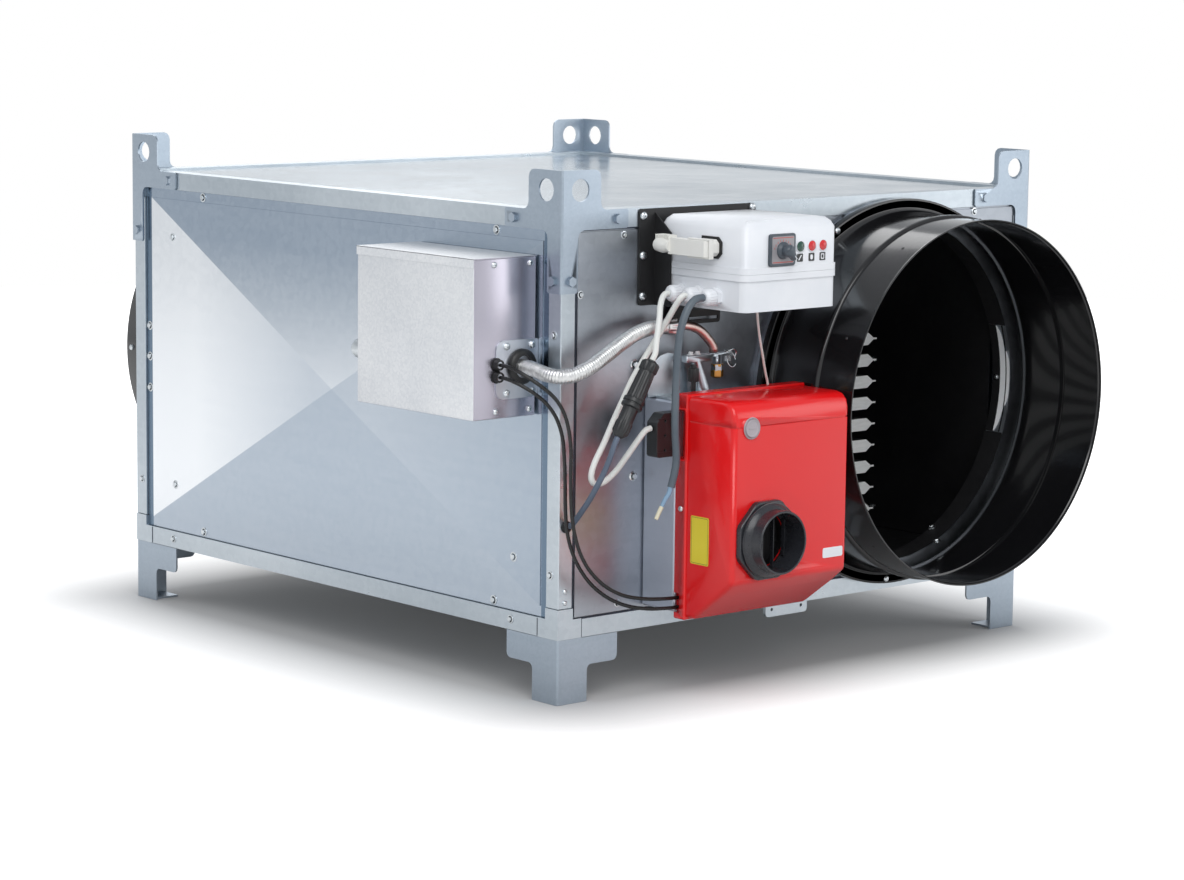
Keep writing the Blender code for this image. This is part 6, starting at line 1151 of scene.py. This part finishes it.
def make_box_trim():
    """The thermostat socket, the glands, the screws and caps, and the ribs of the plug's nut."""
    outline = ((-22.5, -17), (14.5, -17), (22.5, -9), (22.5, 9), (14.5, 17), (-22.5, 17))
    plate_piece("socket_gasket", "black_rubber", outline, at(BOX_SIDE - 0.3, -130.5, 616), 3, FORWARD,
                slot="beige_plastic", bevel=0.5)
    outline = ((-18.5, -13), (12.5, -13), (18.5, -7), (18.5, 7), (12.5, 13), (-18.5, 13))
    plate_piece("socket_housing", "beige_plastic", outline, at(BOX_SIDE - 3.3, -130.5, 616), 12.7, FORWARD,
                bevel=0.8, replaces=("thermostat_socket",))
    cage = bmesh.new()
    nut = ((12.6, 9.6), (13.2, 10.2, 0.7), (13.2, 23, 0.7), (11.6, 25.6, 0.4), (8.6, 28.2))
    for y in GLAND_PLACES:
        place = at(BOX_SIDE, y, GLAND_HEIGHT)
        turned(cage, ((9, 26), (8.4, 28.6), (5.4, 28.6), (5.4, 20)), place, LEFTWARD, 32)
        turned(cage, nut, place, LEFTWARD, 72, 0, 18)
    keep(cage, "gland_caps", "white_plastic", smooth=28)
    screws("bracket_screws", ((165, -2.9, 657), (165, -2.9, 595), (165, -2.9, 531), (400, -2.9, 661.5)),
           FORWARD, 7, 5)
    turned_piece("lid_screw_caps", "white_plastic", ((0, 0.3), (2.6, 0.3), (3, 1.4), (4.6, 1.6), (5, 0)),
                 [at(x, y, 578) for y in (-20, -192) for x in (206, 383)], UPWARD, 20)
    ribs = [-66 + 4.2 * i for i in range(8)]
    blocks("plug_nut_ribs", "beige_plastic", [((161.4, y, 610), (179.2, y + 1.4, 631.4)) for y in ribs],
           body="thermostat_plug", bevel=0.3)


make_switch_trim()
make_lamp_trim()
make_box_trim()


# Thermostat box
def make_side_box_trim():
    nut = ((0, 7), (4.6, 7.2), (6, 9.6), (8, 9.2), (8.8, 7.6, 0.8), (9.2, 2.2, 0.8), (9.2, 0.4),
           (10.4, 0.2), (10.4, 0))
    turned_piece("small_gland_nuts", "black_rubber", nut, [at(-80, 57.7, z) for z in (434, 415)],
                 FORWARD, 60, 0, 12, smooth=30)
    screws("gland_plate_screws", ((-61, 57.7, 461), (-9, 57.7, 461), (-60, 57.7, 388), (-8, 57.7, 388)),
           FORWARD, 6, 4)
    screws("side_box_screws", ((-80, 60, 360), (-12, 60, 360), (-85, 60, 588), (-12, 60, 588)),
           FORWARD, 5, 3.2)
    screws("side_box_rear_screws", ((-100, 352, 588), (-14, 352, 588), (-100, 352, 360), (-14, 352, 360)),
           BACKWARD, 5, 3.2)
    fold = (((-126.2, 59, 597.6), (0, 353, 599.2)), ((-126.2, 59, 585), (-125.2, 353, 599)))
    blocks("side_box_lid_fold", "box_sheet", fold, bevel=0.3)
    grommet = ((0, 0), (8.5, 0), (9.6, 0.8), (9.6, 2.2), (7, 4.6), (5, 5.2), (4.6, 5.2))
    turned_piece("post_grommet", "black_rubber", grommet, [at(15, -0.4, 178.5)], FORWARD, 40)


make_side_box_trim()


# Pipework on the burner mount
VALVE = (232, -52, 396)


def make_pipe_trim():
    screws("clamp_screws", ((236, -40, 437), (251, -40, 437)), UPWARD, 6, 5, hex_screw, "white_tip")
    nut = ((0, 0), (8, 0), (10.4, 2), (10.4, 12), (8.6, 13), (8.6, 17), (10, 18), (10, 22), (0, 22))
    turned_piece("brass_nut", "brass", nut, [at(294, -40, 397)], UPWARD, 6, 0.4, bevel=0.6)
    cage = bmesh.new()
    turned(cage, ((0, 0), (7.5, 0), (8.6, 1, 0.9), (8.6, 20, 0.9), (7.6, 21.4), (5, 22.4), (5, 27), (0, 27)),
           at(*VALVE), UPWARD, 72, 0, 18)
    turned(cage, ((4, -16), (4, 1)), at(*VALVE), UPWARD, 16)
    keep(cage, "knurled_valve_cap", "black_plastic", smooth=28)
    cage = bmesh.new()
    turned(cage, ((0, 6), (4.5, 6), (6, 5), (6, -12), (4.5, -13), (0, -13)), at(316, -40, 434), UPWARD, 6)
    ring = []
    for step in range(19):
        turn = tau * step / 20
        ring.append((318 + 9 * cos(turn), -47 + 3 * sin(turn), 424 + 11 * sin(turn)))
    swept(cage, smooth_route(ring, 2), lambda way, angle: 1.1, 10)
    pin = ((306, -47, 437), (312, -48, 440), (322, -48, 441), (329, -46, 436), (327, -45, 428))
    swept(cage, smooth_route(pin, 2), lambda way, angle: 1.2, 10)
    keep(cage, "lug_pin", "bright_bolt", smooth=30)
    cuff = ((12.2, 0), (12.6, 2, 0.6), (13.4, 8, 1.4), (15.4, 17, 2.6), (14.4, 17.4, 2.6), (11.8, 8, 0.8))
    turned_piece("hose_cuff", "crinkled_foil", cuff, [at(180, -40, 485.9)], RIGHTWARD, 80, 0, 10, smooth=50)
    screws("stand_screws", ((186, -56, 375.5), (296, -56, 375.5)), UPWARD, 5, 4, hex_screw)


make_pipe_trim()


# Inlet fan and flue
FAN = (370, CASING_LENGTH, 335)
FLUE = (830, CASING_LENGTH, 480)


def make_fan_side():
    place = at(*FAN)
    ring = []
    for step in range(9):
        turn = pi * step / 8
        ring.append((304.5 - 3.5 * cos(turn), 121.5 + 3.5 * sin(turn)))
    ring += [(308, 3.4), (309.2, 2.6), (328, 2.3)]
    hollow_piece("fan_ring_sheet", "black_gloss", ring, 2, place, BACKWARD, 144, smooth=45,
                 replaces=("fan_inlet_ring",))
    turns = [30 * step + 15 for step in range(12)]
    screws("fan_ring_screws", on_circle(FAN, 318, CASING_LENGTH + 2.3, turns), BACKWARD)
    cage = bmesh.new()
    for step in range(6):
        out = outward(60 * step)
        foot = place + out * 308 * MM + BACKWARD * 106 * MM
        turned(cage, ((0, 4.2), (3, 3.8), (5, 2.2), (5.6, 0)), foot, out, 16)
    keep(cage, "fan_ring_bolts", "bright_bolt")
    flue = [(100, 80), (100, 64.5), (101.6, 62.6), (103, 60), (101.6, 57.4), (100, 55.5), (100, -335)]
    hollow_piece("flue_pipe", "galvanised_rail", flue, 2, at(*FLUE), BACKWARD, 96, smooth=45,
                 replaces=("flue_spigot",))


make_fan_side()


# Studio
FLOOR_RADIUS = 6000
# Middle and half size of the object's footprint, in metres, along x and y
FOOTPRINT = ((0.058, 0.50), (0.062, 0.56))
# Share of the floor's own light that shows in mirrored views
MIRRORED_SHARE = 0.42


def make_world():
    """A graded grey surrounding for the reflections, plain white where the camera sees it."""
    world = bpy.data.worlds.new("studio")
    bpy.context.scene.world = world
    world.use_nodes = True
    world.node_tree.nodes.clear()
    sky = Tree(world.node_tree)
    split = sky.add("ShaderNodeSeparateXYZ", Vector=sky.add("ShaderNodeTexCoord").outputs["Generated"])
    rise = sky.add("ShaderNodeMapRange", Value=split.outputs["Z"], From_Min=-0.35, From_Max=0.9)
    ramp = sky.add("ShaderNodeValToRGB", Fac=rise.outputs["Result"])
    stops = ramp.color_ramp.elements
    stops[0].color = (0.36, 0.38, 0.41, 1)
    stops[1].color = (0.52, 0.54, 0.57, 1)
    stops.new(0.30).color = (0.84, 0.86, 0.88, 1)
    stops.new(0.50).color = (0.80, 0.82, 0.84, 1)
    stops.new(0.66).color = (0.55, 0.57, 0.60, 1)
    around = sky.add("ShaderNodeBackground", Color=ramp.outputs["Color"], Strength=1)
    plain = sky.add("ShaderNodeBackground", Color=(1, 1, 1, 1), Strength=1)
    mix = sky.add("ShaderNodeMixShader", Fac=sky.add("ShaderNodeLightPath").outputs["Is Camera Ray"])
    sky.feed(mix.inputs[1], around.outputs[0])
    sky.feed(mix.inputs[2], plain.outputs[0])
    sky.add("ShaderNodeOutputWorld", Surface=mix.outputs[0])


def soft_lamp(name, place, target, size, power):
    data = bpy.data.lights.new(name, "AREA")
    data.shape = "RECTANGLE"
    data.size, data.size_y = size
    data.energy = power
    lamp = show(name, data)
    lamp.location = place
    lamp.rotation_euler = (Vector(target) - Vector(place)).to_track_quat("-Z", "Y").to_euler()


def make_floor():
    """A grey disc that glows white away from the object, so that only a soft shadow shows. The glow fades out
    round the footprint, so the shadow there is partly real and partly painted.
    """
    cage = bmesh.new()
    turned(cage, ((0, 0), (FLOOR_RADIUS, 0)), Vector((0, 0, -0.0005)), UPWARD, 64)
    floor = show("studio_floor", mesh_of(cage, "studio_floor"))
    look = Look("studio_floor", Roughness=0.9)
    look.colour(look.blend(look.noise(0.6, 2), (0.50, 0.50, 0.50, 1), (0.52, 0.52, 0.52, 1)))
    split = look.add("ShaderNodeSeparateXYZ", Vector=look.place)
    squares = []
    for axis, (middle, half) in zip("XY", FOOTPRINT):
        off = look.size(look.sum(split.outputs[axis], middle, "SUBTRACT"))
        beyond = look.sum(look.sum(off, half, "SUBTRACT"), 0, "MAXIMUM")
        squares.append(look.sum(beyond, 2, "POWER"))
    reach = look.sum(look.sum(*squares), 0.5, "POWER")
    # The floor's own light grows fast where the painted edge of the shadow ends and slowly from there on
    fade = look.sum(look.band(reach, 0.034, 0.95, 0.035, 0.36), look.band(reach, 0, 0.5, 0.36, 1.2))
    path = look.add("ShaderNodeLightPath").outputs
    mirrored = look.sum(path["Is Glossy Ray"], path["Is Transmission Ray"], "MAXIMUM")
    seen = look.sum(path["Is Camera Ray"], look.sum(mirrored, MIRRORED_SHARE, "MULTIPLY"), "MAXIMUM")
    glow = look.add("ShaderNodeEmission", Color=(1, 1, 1, 1), Strength=look.sum(seen, fade, "MULTIPLY"))
    both = look.add("ShaderNodeAddShader")
    look.feed(both.inputs[0], look.shader.outputs[0])
    look.feed(both.inputs[1], glow.outputs[0])
    look.feed(look.tree.nodes["Material Output"].inputs["Surface"], both.outputs[0])
    floor.data.materials.append(look.material)


make_world()
make_floor()
soft_lamp("key", (-2.2, -3, 3.4), (0, 0, 0.4), (3, 3), 98)
soft_lamp("fill", (2.6, -3.2, 1.5), (0.1, -0.4, 0.3), (2.4, 2), 24)
soft_lamp("overhead", (1.1, 3.4, 2.9), (0.1, 0, 0.5), (3.4, 2.4), 50)

scene = bpy.context.scene
scene.view_settings.view_transform = "Standard"
